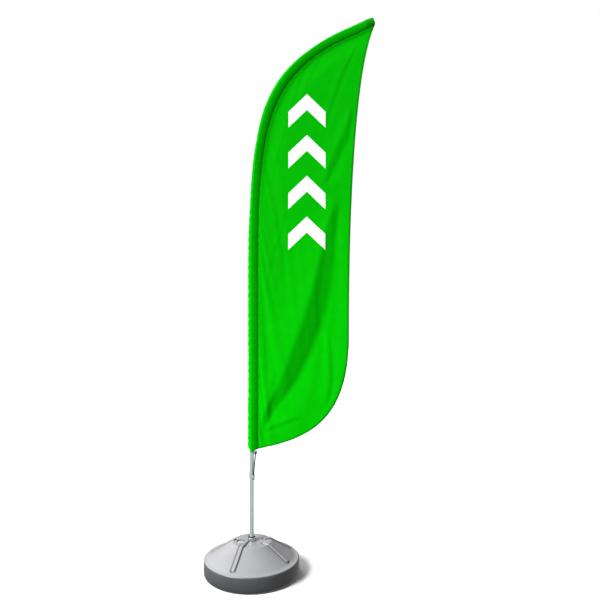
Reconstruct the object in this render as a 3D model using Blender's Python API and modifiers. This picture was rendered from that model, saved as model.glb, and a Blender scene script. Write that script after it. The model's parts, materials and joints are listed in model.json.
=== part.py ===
"""A feather flag: a round water-filled base, a turning spindle and a bent sectional pole.

The pole is straight through its two lower sections and bends over in its two upper ones.
The flag's sleeve covers the pole from its tip down, and an elastic cord pulls the sleeve's
lower end down to a clip on the pole. Metres, +Z up. The origin is the centre of the base's
underside, on the pole's axis. The flag lies in the XZ plane and flies towards +X.
"""

import math

import bmesh
import bpy
from mathutils import Vector

NAME = "feather_flag"

# Clearances
GAP = 0.0003                   # between two pieces that touch
SLEEVE_EASE = 0.0008           # between the pole and the fabric sleeve

# Water tank
TANK_RADIUS = 0.2352
TANK_WALL = 0.004
TANK_SIDE_HEIGHT = 0.083
TANK_FOOT_ROUND = 0.021
TANK_EDGE_ROUND = 0.009
SHOULDER_WIDTH = 0.0210        # flat band between the side and the cone
SHOULDER_RISE = 0.0020
HUB_RADIUS = 0.096
HUB_HEIGHT = 0.1600
HUB_ROUND = 0.030
WELL_FLOOR = 0.012             # thickness of the tank under the spindle's well
TANK_SEGMENTS = 64

# Ribs moulded on the cone
RIBS = (                       # each rib's direction in degrees from +X, and its inner end
    (-111.0, 0.027),
    (-26.0, 0.058),
    (23.0, 0.058),
    (97.0, 0.058),
    (168.0, 0.080),
)
RIB_WIDTH = 0.022
RIB_HEIGHT = 0.0045
RIB_OUTER_END = 0.206
RIB_END_LENGTH = 0.006         # each end tapers down over this length
RIB_END_SCALE = 0.80
RIB_ELBOW_DROP = 0.0020        # how far the rib sinks where it turns down the cone
RIB_ELBOW_SCALE = 0.97         # the bar's thickness at that turn

# Filler: a screw plug in a round recess on the hub
FILLER_OFFSET = 0.054
FILLER_DIRECTION = 186.0       # degrees from +X
RECESS_RADIUS = 0.0190
RECESS_DEPTH = 0.0095
NECK_RADIUS = 0.0120
PLUG_LENGTH = 0.0140
PLUG_FLANGE_RADIUS = 0.0155
PLUG_FLANGE_HEIGHT = 0.0035
PLUG_BORE_RADIUS = 0.0085
GRIP_LENGTH = 0.024
GRIP_WIDTH = 0.005
GRIP_HEIGHT = 0.0045
GASKET_THICKNESS = 0.0015

# Spindle housing, bearing and shaft
HOUSING_RADIUS = 0.0200
HOUSING_RISE = 0.0195          # how far the housing stands above the hub
HOUSING_WALL = 0.0022
HOUSING_FLOOR = 0.0030
SHOULDER_BORE_RADIUS = 0.0146
BEARING_BORE_RADIUS = 0.0075
BEARING_WIDTH = 0.0110
BALL_RADIUS = 0.0029
BALL_COUNT = 8
BALL_RUN = 0.0003              # room between a ball and its two grooves
RACE_LIP = 0.0020              # from the ball circle to each race's edge
CAGE_WIDTH = 0.0016
CAGE_HEIGHT = 0.0030
CIRCLIP_THICKNESS = 0.0012
CIRCLIP_WIDTH = 0.0020
LOCKNUT_HEIGHT = 0.0080
LOCKNUT_RADIUS = 0.0105
BUSH_HEIGHT = 0.0240
SHAFT_COLLAR_HEIGHT = 0.0050
POLE_SEAT_DEPTH = 0.0260       # from the housing's rim down to the pole's lower end
PIN_LENGTH = 0.180             # the shaft's length inside the pole
PIN_CHAMFER = 0.0020

# Pole. Places along it are lengths of its centre line, from the floor up
SECTION_1_RADIUS = 0.0110
SECTION_1_WALL = 0.0015
SECTION_1_TOP = 0.840
SECTION_2_RADIUS = 0.0095
SECTION_2_WALL = 0.00125
SECTION_2_TOP = 1.430
SECTION_3_RADIUS = 0.0080
SECTION_3_WALL = 0.0015
SECTION_3_TOP = 2.200
TIP_ROD_RADIUS = 0.0036        # the tip rod's upper end
TIP_ROD_ENTRY = 0.060          # the tip rod's length inside section 3
END_RING_LENGTH = 0.022
END_RING_WALL = 0.0015
SPIGOT_DOWN = 0.060            # a ferrule's length inside the section below
SPIGOT_UP = 0.050              # a ferrule's length inside the section above
FERRULE_COLLAR = 0.006
TIP_CAP_WALL = 0.0014
TIP_CAP_LENGTH = 0.020
BEND_START = 1.466             # height where the pole starts to bend
BEND_PULL_LOW = 0.737          # length of the bend's lower handle
BEND_PULL_TIP = 0.637          # length of the bend's upper handle
BEND_TIP_X = 0.6154
BEND_TIP_Z = 2.7385
BEND_TIP_LEAN = 72.2           # degrees from upright at the tip
BEND_STEP = 0.040              # length of one straight piece of the bend

# Flag
SLEEVE_BOTTOM = 0.605
SLEEVE_SEAM = 0.0310           # from the pole's centre line to the seam
SLEEVE_WALL = 0.0008
SEAM_HALF_THICKNESS = 0.0016
POCKET_LENGTH = 0.045
POCKET_WALL = 0.0010
PANEL_THICKNESS = 0.0010
FLY_TIP_PULL = (0.4933, 2.4511)
FLY_UPPER_PULL = 0.351
FLY_WIDEST = (0.4830, 1.1705)
FLY_LOWER_PULL = 0.437
FOOT_PULL = (0.2574, 0.6640)
PANEL_CORNER_Z = 0.6140

# Tension cord, its clip, eyelet and beads
TAB_WIDTH = 0.0150
TAB_HEIGHT = 0.0170
TAB_THICKNESS = 0.0016
EYELET_DROP = 0.0085           # from the sleeve's lower end to the eyelet's centre
EYELET_EASE = 0.0006           # between the cord and the eyelet's bore
EYELET_BARREL_WALL = 0.0010
EYELET_FLANGE_RADIUS = 0.0068
EYELET_FLANGE = 0.0008
CORD_RADIUS = 0.0030
TAB_CLEARANCE = 0.0011         # between the pole and the tab's near edge
BEAD_RADIUS = 0.0055
BEAD_LENGTH = 0.0070
CLIP_Z = 0.4740
CLIP_HEIGHT = 0.0260
CLIP_WALL = 0.0026
LUG_DIRECTION = -60.0          # degrees from +X
LUG_WALL = 0.0029
LUG_SINK = 0.0003              # how far the lug reaches into the clip's ring
LUG_HEIGHT = 0.0160
CORD_STEP = 0.0065

# Values that follow from the ones above
EYELET_X = SECTION_1_RADIUS + TAB_CLEARANCE + TAB_WIDTH / 2.0
EYELET_BORE_RADIUS = CORD_RADIUS + EYELET_EASE
LUG_RADIUS = CORD_RADIUS + GAP + LUG_WALL
LUG_REACH = SECTION_1_RADIUS + GAP + CLIP_WALL + LUG_RADIUS - LUG_SINK
RIM_HEIGHT = HUB_HEIGHT + HOUSING_RISE
POLE_SEAT = RIM_HEIGHT - POLE_SEAT_DEPTH

BEND_SAMPLES = 400


def clear_scene():
    """Start from an empty scene."""
    for item in list(bpy.data.objects):
        bpy.data.objects.remove(item, do_unlink=True)


def new_collection(name):
    """A collection linked to the scene."""
    collection = bpy.data.collections.new(name)
    bpy.context.scene.collection.children.link(collection)
    return collection


def make_material(name, colour, roughness, metallic=0.0):
    """A plain Principled material."""
    material = bpy.data.materials.new(name)
    material.use_nodes = True
    shader = material.node_tree.nodes["Principled BSDF"]
    shader.inputs["Base Color"].default_value = (*colour, 1.0)
    shader.inputs["Roughness"].default_value = roughness
    shader.inputs["Metallic"].default_value = metallic
    return material


def mesh_object(name, vertices, edges, faces, collection):
    """An object from vertices, edges and faces."""
    mesh = bpy.data.meshes.new(name)
    mesh.from_pydata(vertices, edges, faces)
    mesh.update()
    item = bpy.data.objects.new(name, mesh)
    collection.objects.link(item)
    return item


def shade_round(item, angle=35.0):
    """Smooth shading that keeps edges sharper than the angle."""
    item.data.shade_smooth()
    item.data.set_sharp_from_angle(angle=math.radians(angle))


def fillet(points, steps=3):
    """Round the corners of an outline: each point is (r, z) or (r, z, radius)."""
    outline = []
    last = len(points) - 1
    for index, point in enumerate(points):
        corner = Vector(point[:2])
        radius = point[2] if len(point) == 3 else 0.0
        if radius == 0.0 or index in (0, last):
            outline.append(tuple(corner))
            continue
        back = (Vector(points[index - 1][:2]) - corner).normalized()
        ahead = (Vector(points[index + 1][:2]) - corner).normalized()
        half = math.acos(max(-1.0, min(1.0, back.dot(ahead)))) / 2.0
        reach = radius / math.tan(half)
        centre = corner + (back + ahead).normalized() * radius / math.sin(half)
        start = corner + back * reach - centre
        sweep = start.angle_signed(corner + ahead * reach - centre)
        for step in range(steps + 1):
            turn = -sweep * step / steps
            outline.append((
                centre.x + start.x * math.cos(turn) - start.y * math.sin(turn),
                centre.y + start.x * math.sin(turn) + start.y * math.cos(turn),
            ))
    return outline


def turned(name, outline, collection, segments=32, closed=False, at=(0.0, 0.0, 0.0)):
    """A turned piece: the outline runs down the outer side, from top to bottom."""
    vertices = [(r, 0.0, z) for r, z in outline]
    edges = [(i, i + 1) for i in range(len(outline) - 1)]
    if closed:
        edges.append((len(outline) - 1, 0))
    item = mesh_object(name, vertices, edges, [], collection)
    item.location = at
    screw = item.modifiers.new("turn", "SCREW")
    screw.axis = "Z"
    screw.angle = math.tau
    screw.steps = segments
    screw.render_steps = segments
    screw.use_merge_vertices = True
    screw.merge_threshold = 0.00001
    screw.use_smooth_shade = True
    return item


def ring(name, inner, outer, bottom, top, collection, segments=32, at=(0.0, 0.0, 0.0)):
    """A plain turned ring with a rectangular section."""
    outline = [(inner, top), (outer, top), (outer, bottom), (inner, bottom)]
    return turned(name, outline, collection, segments, closed=True, at=at)


def cylinder(name, radius, bottom, top, centre, collection, sides=32):
    """A capped cylinder that stands on the Z axis through the centre."""
    mesh = bpy.data.meshes.new(name)
    form = bmesh.new()
    bmesh.ops.create_cone(form, cap_ends=True, segments=sides, radius1=radius,
                          radius2=radius, depth=top - bottom)
    form.to_mesh(mesh)
    form.free()
    item = bpy.data.objects.new(name, mesh)
    item.location = (centre[0], centre[1], (top + bottom) / 2.0)
    collection.objects.link(item)
    return item


def block(name, size, centre, collection, turn_z=0.0):
    """A box."""
    mesh = bpy.data.meshes.new(name)
    form = bmesh.new()
    bmesh.ops.create_cube(form, size=1.0)
    bmesh.ops.scale(form, vec=size, verts=form.verts)
    form.to_mesh(mesh)
    form.free()
    item = bpy.data.objects.new(name, mesh)
    item.location = centre
    item.rotation_euler = (0.0, 0.0, turn_z)
    collection.objects.link(item)
    return item


def combine(item, tool, operation):
    """Add a Boolean modifier and hide its tool."""
    boolean = item.modifiers.new(tool.name, "BOOLEAN")
    boolean.operation = operation
    boolean.object = tool
    boolean.solver = "EXACT"
    tool.hide_render = True
    tool.display_type = "WIRE"


def bend_point(t):
    """A point on the bend, a cubic curve from the straight pole to the tip."""
    lean = math.radians(BEND_TIP_LEAN)
    start = Vector((0.0, BEND_START))
    low = Vector((0.0, BEND_START + BEND_PULL_LOW))
    tip = Vector((BEND_TIP_X, BEND_TIP_Z))
    high = tip - BEND_PULL_TIP * Vector((math.sin(lean), math.cos(lean)))
    rest = 1.0 - t
    return rest**3 * start + 3 * rest**2 * t * low + 3 * rest * t**2 * high + t**3 * tip


def measure_bend():
    """The bend's points with the pole length at each."""
    samples = [bend_point(i / BEND_SAMPLES) for i in range(BEND_SAMPLES + 1)]
    lengths = [BEND_START]
    for before, after in zip(samples, samples[1:]):
        lengths.append(lengths[-1] + (after - before).length)
    return samples, lengths


BEND_POINTS, BEND_LENGTHS = measure_bend()
SLEEVE_END = BEND_LENGTHS[-1] - 0.010
POLE_END = SLEEVE_END - POCKET_WALL - GAP - TIP_CAP_WALL - GAP


def pole_frame(along):
    """The point, the lean and the inward normal of the pole at a length along it."""
    if along <= BEND_START:
        return Vector((0.0, 0.0, along)), 0.0, Vector((1.0, 0.0, 0.0))
    last = len(BEND_LENGTHS) - 2
    index = next((i for i in range(last) if BEND_LENGTHS[i + 1] >= along), last)
    before, after = BEND_POINTS[index], BEND_POINTS[index + 1]
    share = (along - BEND_LENGTHS[index]) / (BEND_LENGTHS[index + 1] - BEND_LENGTHS[index])
    flat = before.lerp(after, share)
    step = after - before
    lean = math.atan2(step.x, step.y)
    point = Vector((flat.x, 0.0, flat.y))
    return point, lean, Vector((math.cos(lean), 0.0, -math.sin(lean)))


def stations(start, end):
    """Lengths along the pole from start to end, close together only in the bend."""
    marks = [start]
    count = math.ceil((BEND_LENGTHS[-1] - BEND_START) / BEND_STEP)
    for i in range(count + 1):
        mark = BEND_START + i * BEND_STEP
        if start + BEND_STEP / 4 < mark < end - BEND_STEP / 4:
            marks.append(mark)
    marks.append(end)
    return marks


def pole_tube(name, start, end, radii, wall, collection, level=6, capped=False):
    """A round tube or rod along the pole, with an outer radius at each end."""
    curve = bpy.data.curves.new(name, "CURVE")
    curve.dimensions = "3D"
    curve.twist_mode = "MINIMUM"
    curve.bevel_depth = radii[0]
    curve.bevel_resolution = level
    curve.use_fill_caps = capped
    marks = stations(start, end)
    spline = curve.splines.new("POLY")
    spline.points.add(len(marks) - 1)
    for mark, point in zip(marks, spline.points):
        share = (mark - start) / (end - start)
        point.co = (*pole_frame(mark)[0], 1.0)
        point.radius = 1.0 + share * (radii[1] / radii[0] - 1.0)
    item = bpy.data.objects.new(name, curve)
    collection.objects.link(item)
    if not capped:
        shell = item.modifiers.new("wall", "SOLIDIFY")
        shell.thickness = wall
        shell.offset = -1.0
        shell.use_even_offset = True
    return item


def mesh_from_curve(item, collection):
    """Replace a curve object by its mesh, with the caps welded on."""
    bpy.context.view_layer.update()
    graph = bpy.context.evaluated_depsgraph_get()
    mesh = bpy.data.meshes.new_from_object(item.evaluated_get(graph))
    form = bmesh.new()
    form.from_mesh(mesh)
    bmesh.ops.remove_doubles(form, verts=form.verts, dist=0.000005)
    form.to_mesh(mesh)
    form.free()
    name = item.name
    matrix = item.matrix_world.copy()
    bpy.data.objects.remove(item, do_unlink=True)
    solid = bpy.data.objects.new(name, mesh)
    solid.matrix_world = matrix
    collection.objects.link(solid)
    return solid


def flat_outline(name, points, thickness, collection):
    """A flat plate in the XZ plane, centred on Y, from its outline."""
    curve = bpy.data.curves.new(name, "CURVE")
    curve.dimensions = "2D"
    curve.fill_mode = "BOTH"
    curve.extrude = thickness / 2.0
    spline = curve.splines.new("POLY")
    spline.points.add(len(points) - 1)
    for (x, z), point in zip(points, spline.points):
        point.co = (x, z, 0.0, 1.0)
    spline.use_cyclic_u = True
    item = bpy.data.objects.new(name, curve)
    item.rotation_euler = (math.radians(90.0), 0.0, 0.0)
    collection.objects.link(item)
    return item


def hub_slope():
    """The cone's slope as an angle below the horizontal."""
    drop = HUB_HEIGHT - TANK_SIDE_HEIGHT - SHOULDER_RISE
    run = TANK_RADIUS - SHOULDER_WIDTH - HUB_RADIUS
    return math.atan2(drop, run)


def cone_height(radius):
    """The height of the cone's surface at a distance from the axis."""
    return HUB_HEIGHT - (radius - HUB_RADIUS) * math.tan(hub_slope())


def tank_outline(inset):
    """The tank's outer side from the hub down to the floor, moved inwards by the inset."""
    radius = TANK_RADIUS - inset
    inner_round = max(TANK_EDGE_ROUND - inset, 0.002)
    lean = inset * math.tan(hub_slope() / 2.0)
    return [
        (HUB_RADIUS - lean, HUB_HEIGHT - inset, HUB_ROUND - inset),
        (TANK_RADIUS - SHOULDER_WIDTH - lean, TANK_SIDE_HEIGHT + SHOULDER_RISE - inset, 0.004),
        (radius, TANK_SIDE_HEIGHT - inset, inner_round),
        (radius, inset, TANK_FOOT_ROUND - inset),
    ]


def filler_centre():
    """The filler's axis in plan."""
    turn = math.radians(FILLER_DIRECTION)
    return (FILLER_OFFSET * math.cos(turn), FILLER_OFFSET * math.sin(turn))


def rib_path(inner_end, sink):
    """The rib bar's centre line in its own upright plane: (reach, height, scale)."""
    slope = hub_slope()
    elbow = HUB_RADIUS - sink * math.tan(slope / 2.0)
    bend = HUB_ROUND / 3.0
    flat = HUB_HEIGHT - sink
    full = min(inner_end + RIB_END_LENGTH, elbow - 1.2 * bend)

    def under_cone(reach):
        return reach - sink * math.sin(slope), cone_height(reach) - sink * math.cos(slope)

    return [
        (inner_end, flat, RIB_END_SCALE),
        (full, flat, 1.0),
        (elbow - bend, flat, RIB_ELBOW_SCALE),
        (elbow, flat - RIB_ELBOW_DROP, RIB_ELBOW_SCALE),
        (elbow + bend, cone_height(HUB_RADIUS + bend) - sink, 1.0),
        (*under_cone(RIB_OUTER_END - RIB_END_LENGTH), 1.0),
        (*under_cone(RIB_OUTER_END), RIB_END_SCALE),
    ]


def rib_tool(index, direction, inner_end, tools):
    """One rib: a sunk round bar that follows the hub and the cone, with only its back proud."""
    bar_radius = (RIB_WIDTH**2 / 4.0 + RIB_HEIGHT**2) / (2.0 * RIB_HEIGHT)
    path = rib_path(inner_end, bar_radius - RIB_HEIGHT)
    curve = bpy.data.curves.new(f"rib_{index}", "CURVE")
    curve.dimensions = "3D"
    curve.bevel_depth = bar_radius
    curve.bevel_resolution = 6
    curve.use_fill_caps = True
    spline = curve.splines.new("POLY")
    spline.points.add(len(path) - 1)
    turn = math.radians(direction)
    for (reach, height, scale), point in zip(path, spline.points):
        point.co = (reach * math.cos(turn), reach * math.sin(turn), height, 1.0)
        point.radius = scale
    item = bpy.data.objects.new(f"rib_{index}", curve)
    tools.objects.link(item)
    return mesh_from_curve(item, tools)


def build_tank(parts, tools, plastic):
    """The hollow tank with its ribs, spindle well, filler recess and neck."""
    well = HOUSING_RADIUS + GAP
    outline = fillet([(0.0, WELL_FLOOR), (well, WELL_FLOOR), (well, HUB_HEIGHT)]
                     + tank_outline(0.0) + [(0.0, 0.0)])
    tank = turned("base_tank", outline, parts, TANK_SEGMENTS)
    tank.data.materials.append(plastic)
    for index, (direction, inner_end) in enumerate(RIBS):
        combine(tank, rib_tool(index, direction, inner_end, tools), "UNION")

    inner_well = well + TANK_WALL
    cavity_outline = fillet([(inner_well, HUB_HEIGHT - TANK_WALL)] + tank_outline(TANK_WALL)
                            + [(inner_well, TANK_WALL)], steps=2)
    cavity = turned("cavity", cavity_outline, tools, TANK_SEGMENTS // 2, closed=True)
    centre = filler_centre()
    recess_floor = HUB_HEIGHT - RECESS_DEPTH
    boss = cylinder("recess_boss", RECESS_RADIUS + TANK_WALL, recess_floor - TANK_WALL,
                    HUB_HEIGHT + TANK_WALL, centre, tools)
    combine(cavity, boss, "DIFFERENCE")
    combine(tank, cavity, "DIFFERENCE")
    recess = cylinder("recess", RECESS_RADIUS, recess_floor, HUB_HEIGHT + TANK_WALL,
                      centre, tools)
    combine(tank, recess, "DIFFERENCE")
    neck = cylinder("neck", NECK_RADIUS, recess_floor - 3 * TANK_WALL,
                    recess_floor + TANK_WALL, centre, tools)
    combine(tank, neck, "DIFFERENCE")


def build_filler(parts, tools, plastic, rubber):
    """The screw plug with its grip bar, and the gasket under its flange."""
    x, y = filler_centre()
    floor = HUB_HEIGHT - RECESS_DEPTH
    gasket_top = floor + GAP + GASKET_THICKNESS
    gasket = ring("filler_gasket", NECK_RADIUS + GAP, PLUG_FLANGE_RADIUS, floor + GAP,
                  gasket_top, parts, 32, at=(x, y, 0.0))
    gasket.data.materials.append(rubber)
    bottom = gasket_top + GAP
    plug_radius = NECK_RADIUS - GAP
    plug_end = floor - PLUG_LENGTH
    outline = [
        (0.0, bottom + PLUG_FLANGE_HEIGHT),
        (PLUG_FLANGE_RADIUS - 0.001, bottom + PLUG_FLANGE_HEIGHT),
        (PLUG_FLANGE_RADIUS, bottom + PLUG_FLANGE_HEIGHT - 0.001),
        (PLUG_FLANGE_RADIUS, bottom),
        (plug_radius, bottom),
        (plug_radius, plug_end),
        (PLUG_BORE_RADIUS, plug_end),
        (PLUG_BORE_RADIUS, bottom),
        (0.0, bottom),
    ]
    plug = turned("filler_cap", outline, parts, 32, at=(x, y, 0.0))
    plug.data.materials.append(plastic)
    overlap = 0.0010
    grip_z = bottom + PLUG_FLANGE_HEIGHT - overlap + (GRIP_HEIGHT + overlap) / 2.0
    grip = block("grip", (GRIP_LENGTH, GRIP_WIDTH, GRIP_HEIGHT + overlap), (x, y, grip_z),
                 tools, math.radians(35.0))
    combine(plug, grip, "UNION")


def build_bearing(parts, tools, top, steel, brass):
    """The two grooved races, and the balls in their cage, below the given height."""
    middle = top - BEARING_WIDTH / 2.0
    bottom = top - BEARING_WIDTH
    outer = HOUSING_RADIUS - HOUSING_WALL - GAP
    circle = (BEARING_BORE_RADIUS + outer) / 2.0
    groove = BALL_RADIUS + BALL_RUN
    reach = math.asin(RACE_LIP / groove)

    def groove_points(side):
        marks = [-1.0, -0.33, 0.33, 1.0]
        span = math.pi / 2.0 - reach
        return [(circle + side * groove * math.cos(span * m), middle + groove * math.sin(span * m))
                for m in marks]

    inner_points = list(reversed(groove_points(-1.0)))
    inner_outline = ([(BEARING_BORE_RADIUS, top), (inner_points[0][0], top)] + inner_points
                     + [(inner_points[-1][0], bottom), (BEARING_BORE_RADIUS, bottom)])
    inner = turned("bearing_inner_race", inner_outline, parts, 28, closed=True)
    inner.data.materials.append(steel)
    outer_points = groove_points(1.0)
    outer_outline = ([(outer_points[-1][0], top), (outer, top), (outer, bottom),
                      (outer_points[0][0], bottom)] + outer_points)
    race = turned("bearing_outer_race", outer_outline, parts, 28, closed=True)
    race.data.materials.append(steel)

    cage = ring("bearing_ball_cage", circle - CAGE_WIDTH / 2, circle + CAGE_WIDTH / 2,
                middle - CAGE_HEIGHT / 2, middle + CAGE_HEIGHT / 2, parts, 24)
    cage.data.materials.append(brass)
    for index in range(BALL_COUNT):
        turn = math.tau * (index + 0.25) / BALL_COUNT
        mesh = bpy.data.meshes.new(f"ball_{index}")
        form = bmesh.new()
        bmesh.ops.create_uvsphere(form, u_segments=8, v_segments=6, radius=BALL_RADIUS)
        form.to_mesh(mesh)
        form.free()
        ball = bpy.data.objects.new(f"ball_{index}", mesh)
        ball.location = (circle * math.cos(turn), circle * math.sin(turn), middle)
        tools.objects.link(ball)
        combine(cage, ball, "UNION")


def build_spindle(parts, tools, steel, brass, plastic):
    """The housing cup in the well, and the shaft that turns in it and carries the pole."""
    rim = RIM_HEIGHT
    foot = WELL_FLOOR + GAP
    seat = POLE_SEAT
    collar_bottom = seat - GAP - SHAFT_COLLAR_HEIGHT
    bearing_top = collar_bottom - GAP
    bearing_bottom = bearing_top - BEARING_WIDTH
    bore = HOUSING_RADIUS - HOUSING_WALL
    outline = [
        (bore + 0.0005, rim),
        (HOUSING_RADIUS - 0.0007, rim),
        (HOUSING_RADIUS, rim - 0.0007),
        (HOUSING_RADIUS, foot),
        (0.0, foot),
    ]
    inside = [
        (0.0, foot + HOUSING_FLOOR),
        (SHOULDER_BORE_RADIUS, foot + HOUSING_FLOOR),
        (SHOULDER_BORE_RADIUS, bearing_bottom - GAP),
        (bore, bearing_bottom - GAP),
        (bore, rim - 0.0005),
    ]
    housing = turned("spindle_housing", inside + outline, parts, 32)
    housing.data.materials.append(steel)

    build_bearing(parts, tools, bearing_top, steel, brass)
    clip_bottom = bearing_top + GAP
    clip = ring("housing_circlip", bore - GAP - CIRCLIP_WIDTH, bore - GAP, clip_bottom,
                clip_bottom + CIRCLIP_THICKNESS, parts, 32)
    clip.data.materials.append(steel)

    shaft_radius = BEARING_BORE_RADIUS - GAP
    nut_top = bearing_bottom - GAP
    nut = cylinder("shaft_locknut", LOCKNUT_RADIUS, nut_top - LOCKNUT_HEIGHT, nut_top,
                   (0.0, 0.0), parts, 6)
    thread = cylinder("nut_bore", BEARING_BORE_RADIUS, nut_top - 2 * LOCKNUT_HEIGHT,
                      nut_top + LOCKNUT_HEIGHT, (0.0, 0.0), tools)
    combine(nut, thread, "DIFFERENCE")
    nut.data.materials.append(steel)
    bush_bottom = foot + HOUSING_FLOOR + GAP
    bush = ring("lower_bush", BEARING_BORE_RADIUS, SHOULDER_BORE_RADIUS - GAP, bush_bottom,
                bush_bottom + BUSH_HEIGHT, parts, 32)
    bush.data.materials.append(plastic)

    pin_radius = SECTION_1_RADIUS - SECTION_1_WALL - GAP
    pin_top = seat + PIN_LENGTH
    shaft_bottom = bush_bottom
    shaft_outline = [
        (0.0, pin_top),
        (pin_radius - PIN_CHAMFER, pin_top),
        (pin_radius, pin_top - 2 * PIN_CHAMFER),
        (pin_radius, seat - GAP),
        (SECTION_1_RADIUS, seat - GAP),
        (SECTION_1_RADIUS, collar_bottom),
        (shaft_radius, collar_bottom),
        (shaft_radius, shaft_bottom),
        (0.0, shaft_bottom),
    ]
    shaft = turned("spindle_shaft", shaft_outline, parts, 32)
    shaft.data.materials.append(steel)


def ferrule(name, joint, below, above, parts, metal):
    """A stepped ferrule: its collar stands on one section, its spigots enter both."""
    low_radius = below[0] - below[1] - GAP
    high_radius = above[0] - above[1] - GAP
    outline = [
        (0.0, joint + FERRULE_COLLAR + SPIGOT_UP),
        (high_radius, joint + FERRULE_COLLAR + SPIGOT_UP),
        (high_radius, joint + FERRULE_COLLAR),
        (below[0], joint + FERRULE_COLLAR),
        (below[0], joint + GAP),
        (low_radius, joint + GAP),
        (low_radius, joint - SPIGOT_DOWN + 0.0015),
        (low_radius - 0.0015, joint - SPIGOT_DOWN),
        (0.0, joint - SPIGOT_DOWN),
    ]
    item = turned(name, outline, parts, 20)
    item.data.materials.append(metal)


def build_pole(parts, aluminium, fibreglass, rubber, steel):
    """The four pole sections, their joints and the cap on the tip."""
    seat = POLE_SEAT
    first = (SECTION_1_RADIUS, SECTION_1_WALL)
    second = (SECTION_2_RADIUS, SECTION_2_WALL)
    third = (SECTION_3_RADIUS, SECTION_3_WALL)
    lower = pole_tube("pole_section_1", seat, SECTION_1_TOP, (first[0], first[0]),
                      first[1], parts, level=8)
    lower.data.materials.append(aluminium)
    ferrule("joint_ferrule_1", SECTION_1_TOP, first, second, parts, steel)
    start_2 = SECTION_1_TOP + FERRULE_COLLAR + GAP
    middle = pole_tube("pole_section_2", start_2, SECTION_2_TOP, (second[0], second[0]),
                       second[1], parts)
    middle.data.materials.append(aluminium)
    ferrule("joint_ferrule_2", SECTION_2_TOP, second, third, parts, steel)
    start_3 = SECTION_2_TOP + FERRULE_COLLAR + GAP
    upper = pole_tube("pole_section_3", start_3, SECTION_3_TOP, (third[0], third[0]),
                      third[1], parts, level=4)
    upper.data.materials.append(aluminium)
    mouth = pole_tube("section_3_end_ring", SECTION_3_TOP - END_RING_LENGTH, SECTION_3_TOP,
                      (third[0] + GAP + END_RING_WALL,) * 2, END_RING_WALL, parts, level=4)
    mouth.data.materials.append(steel)
    rod_radius = third[0] - third[1] - GAP
    rod = pole_tube("pole_tip_rod", SECTION_3_TOP - TIP_ROD_ENTRY, POLE_END,
                    (rod_radius - GAP, TIP_ROD_RADIUS), 0.0, parts, level=2, capped=True)
    rod.data.materials.append(fibreglass)
    cap_radius = tip_cap_radius()
    outline = fillet([
        (0.0, TIP_CAP_WALL),
        (cap_radius, TIP_CAP_WALL, 0.002),
        (cap_radius, TIP_CAP_WALL + GAP - TIP_CAP_LENGTH),
        (cap_radius - TIP_CAP_WALL, TIP_CAP_WALL + GAP - TIP_CAP_LENGTH),
        (cap_radius - TIP_CAP_WALL, 0.0),
        (0.0, 0.0),
    ], steps=3)
    cap = turned("pole_tip_cap", outline, parts, 20)
    point, lean, _ = pole_frame(POLE_END)
    along = Vector((math.sin(lean), 0.0, math.cos(lean)))
    cap.location = point + along * GAP
    cap.rotation_euler = (0.0, lean, 0.0)
    cap.data.materials.append(rubber)


def tip_cap_radius():
    """The tip cap's outer radius, clear of the rod's slight taper and bend inside it."""
    return TIP_ROD_RADIUS + 2 * GAP + TIP_CAP_WALL


def sleeve_bore(along):
    """The fabric sleeve's inner radius, which follows the pole's section."""
    first = SECTION_1_RADIUS + SLEEVE_EASE
    second = SECTION_2_RADIUS + SLEEVE_EASE
    third = SECTION_3_RADIUS + GAP + END_RING_WALL + SLEEVE_EASE
    last = tip_cap_radius() + SLEEVE_EASE
    marks = [
        (SLEEVE_BOTTOM, first),
        (SECTION_1_TOP + FERRULE_COLLAR, first),
        (SECTION_1_TOP + SPIGOT_UP, second),
        (SECTION_2_TOP + FERRULE_COLLAR, second),
        (SECTION_2_TOP + SPIGOT_UP, third),
        (SECTION_3_TOP, third),
        (SLEEVE_END, last),
    ]
    for (low, a), (high, b) in zip(marks, marks[1:]):
        if along <= high:
            return a + (b - a) * max(0.0, along - low) / (high - low)
    return last


def sleeve_section(along, grow, seam_reach, seam_half):
    """A closed section round the pole that narrows to the seam."""
    point, _, inward = pole_frame(along)
    radius = sleeve_bore(along) + grow
    across = Vector((0.0, 1.0, 0.0))
    local = [(seam_reach, -seam_half)]
    for step in range(9):
        turn = math.radians(-112.0 + 28.0 * step)
        local.append((-radius * math.cos(turn), radius * math.sin(turn)))
    local.append((seam_reach, seam_half))
    return [point + inward * n + across * b for n, b in local]


def loft(name, outer_rings, inner_rings, parts, end_closed=False):
    """A wall between two rows of rings, open at its start."""
    size = len(outer_rings[0])
    vertices = [tuple(v) for rings in (outer_rings, inner_rings) for one in rings for v in one]
    offset = len(outer_rings) * size
    faces = []
    for rings, first, flip in ((outer_rings, 0, False), (inner_rings, offset, True)):
        for row in range(len(rings) - 1):
            for i in range(size):
                j = (i + 1) % size
                low, high = first + row * size, first + (row + 1) * size
                quad = (low + i, low + j, high + j, high + i)
                faces.append(tuple(reversed(quad)) if flip else quad)
    last_outer = (len(outer_rings) - 1) * size
    last_inner = offset + (len(inner_rings) - 1) * size
    for i in range(size):
        j = (i + 1) % size
        faces.append((offset + i, offset + j, j, i))
        if not end_closed:
            faces.append((last_outer + i, last_outer + j, last_inner + j, last_inner + i))
    if end_closed:
        faces.append(tuple(last_outer + i for i in range(size)))
        faces.append(tuple(reversed([last_inner + i for i in range(size)])))
    item = mesh_object(name, vertices, [], faces, parts)
    form = bmesh.new()
    form.from_mesh(item.data)
    bmesh.ops.recalc_face_normals(form, faces=form.faces)
    form.to_mesh(item.data)
    form.free()
    shade_round(item, 50.0)
    return item


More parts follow.
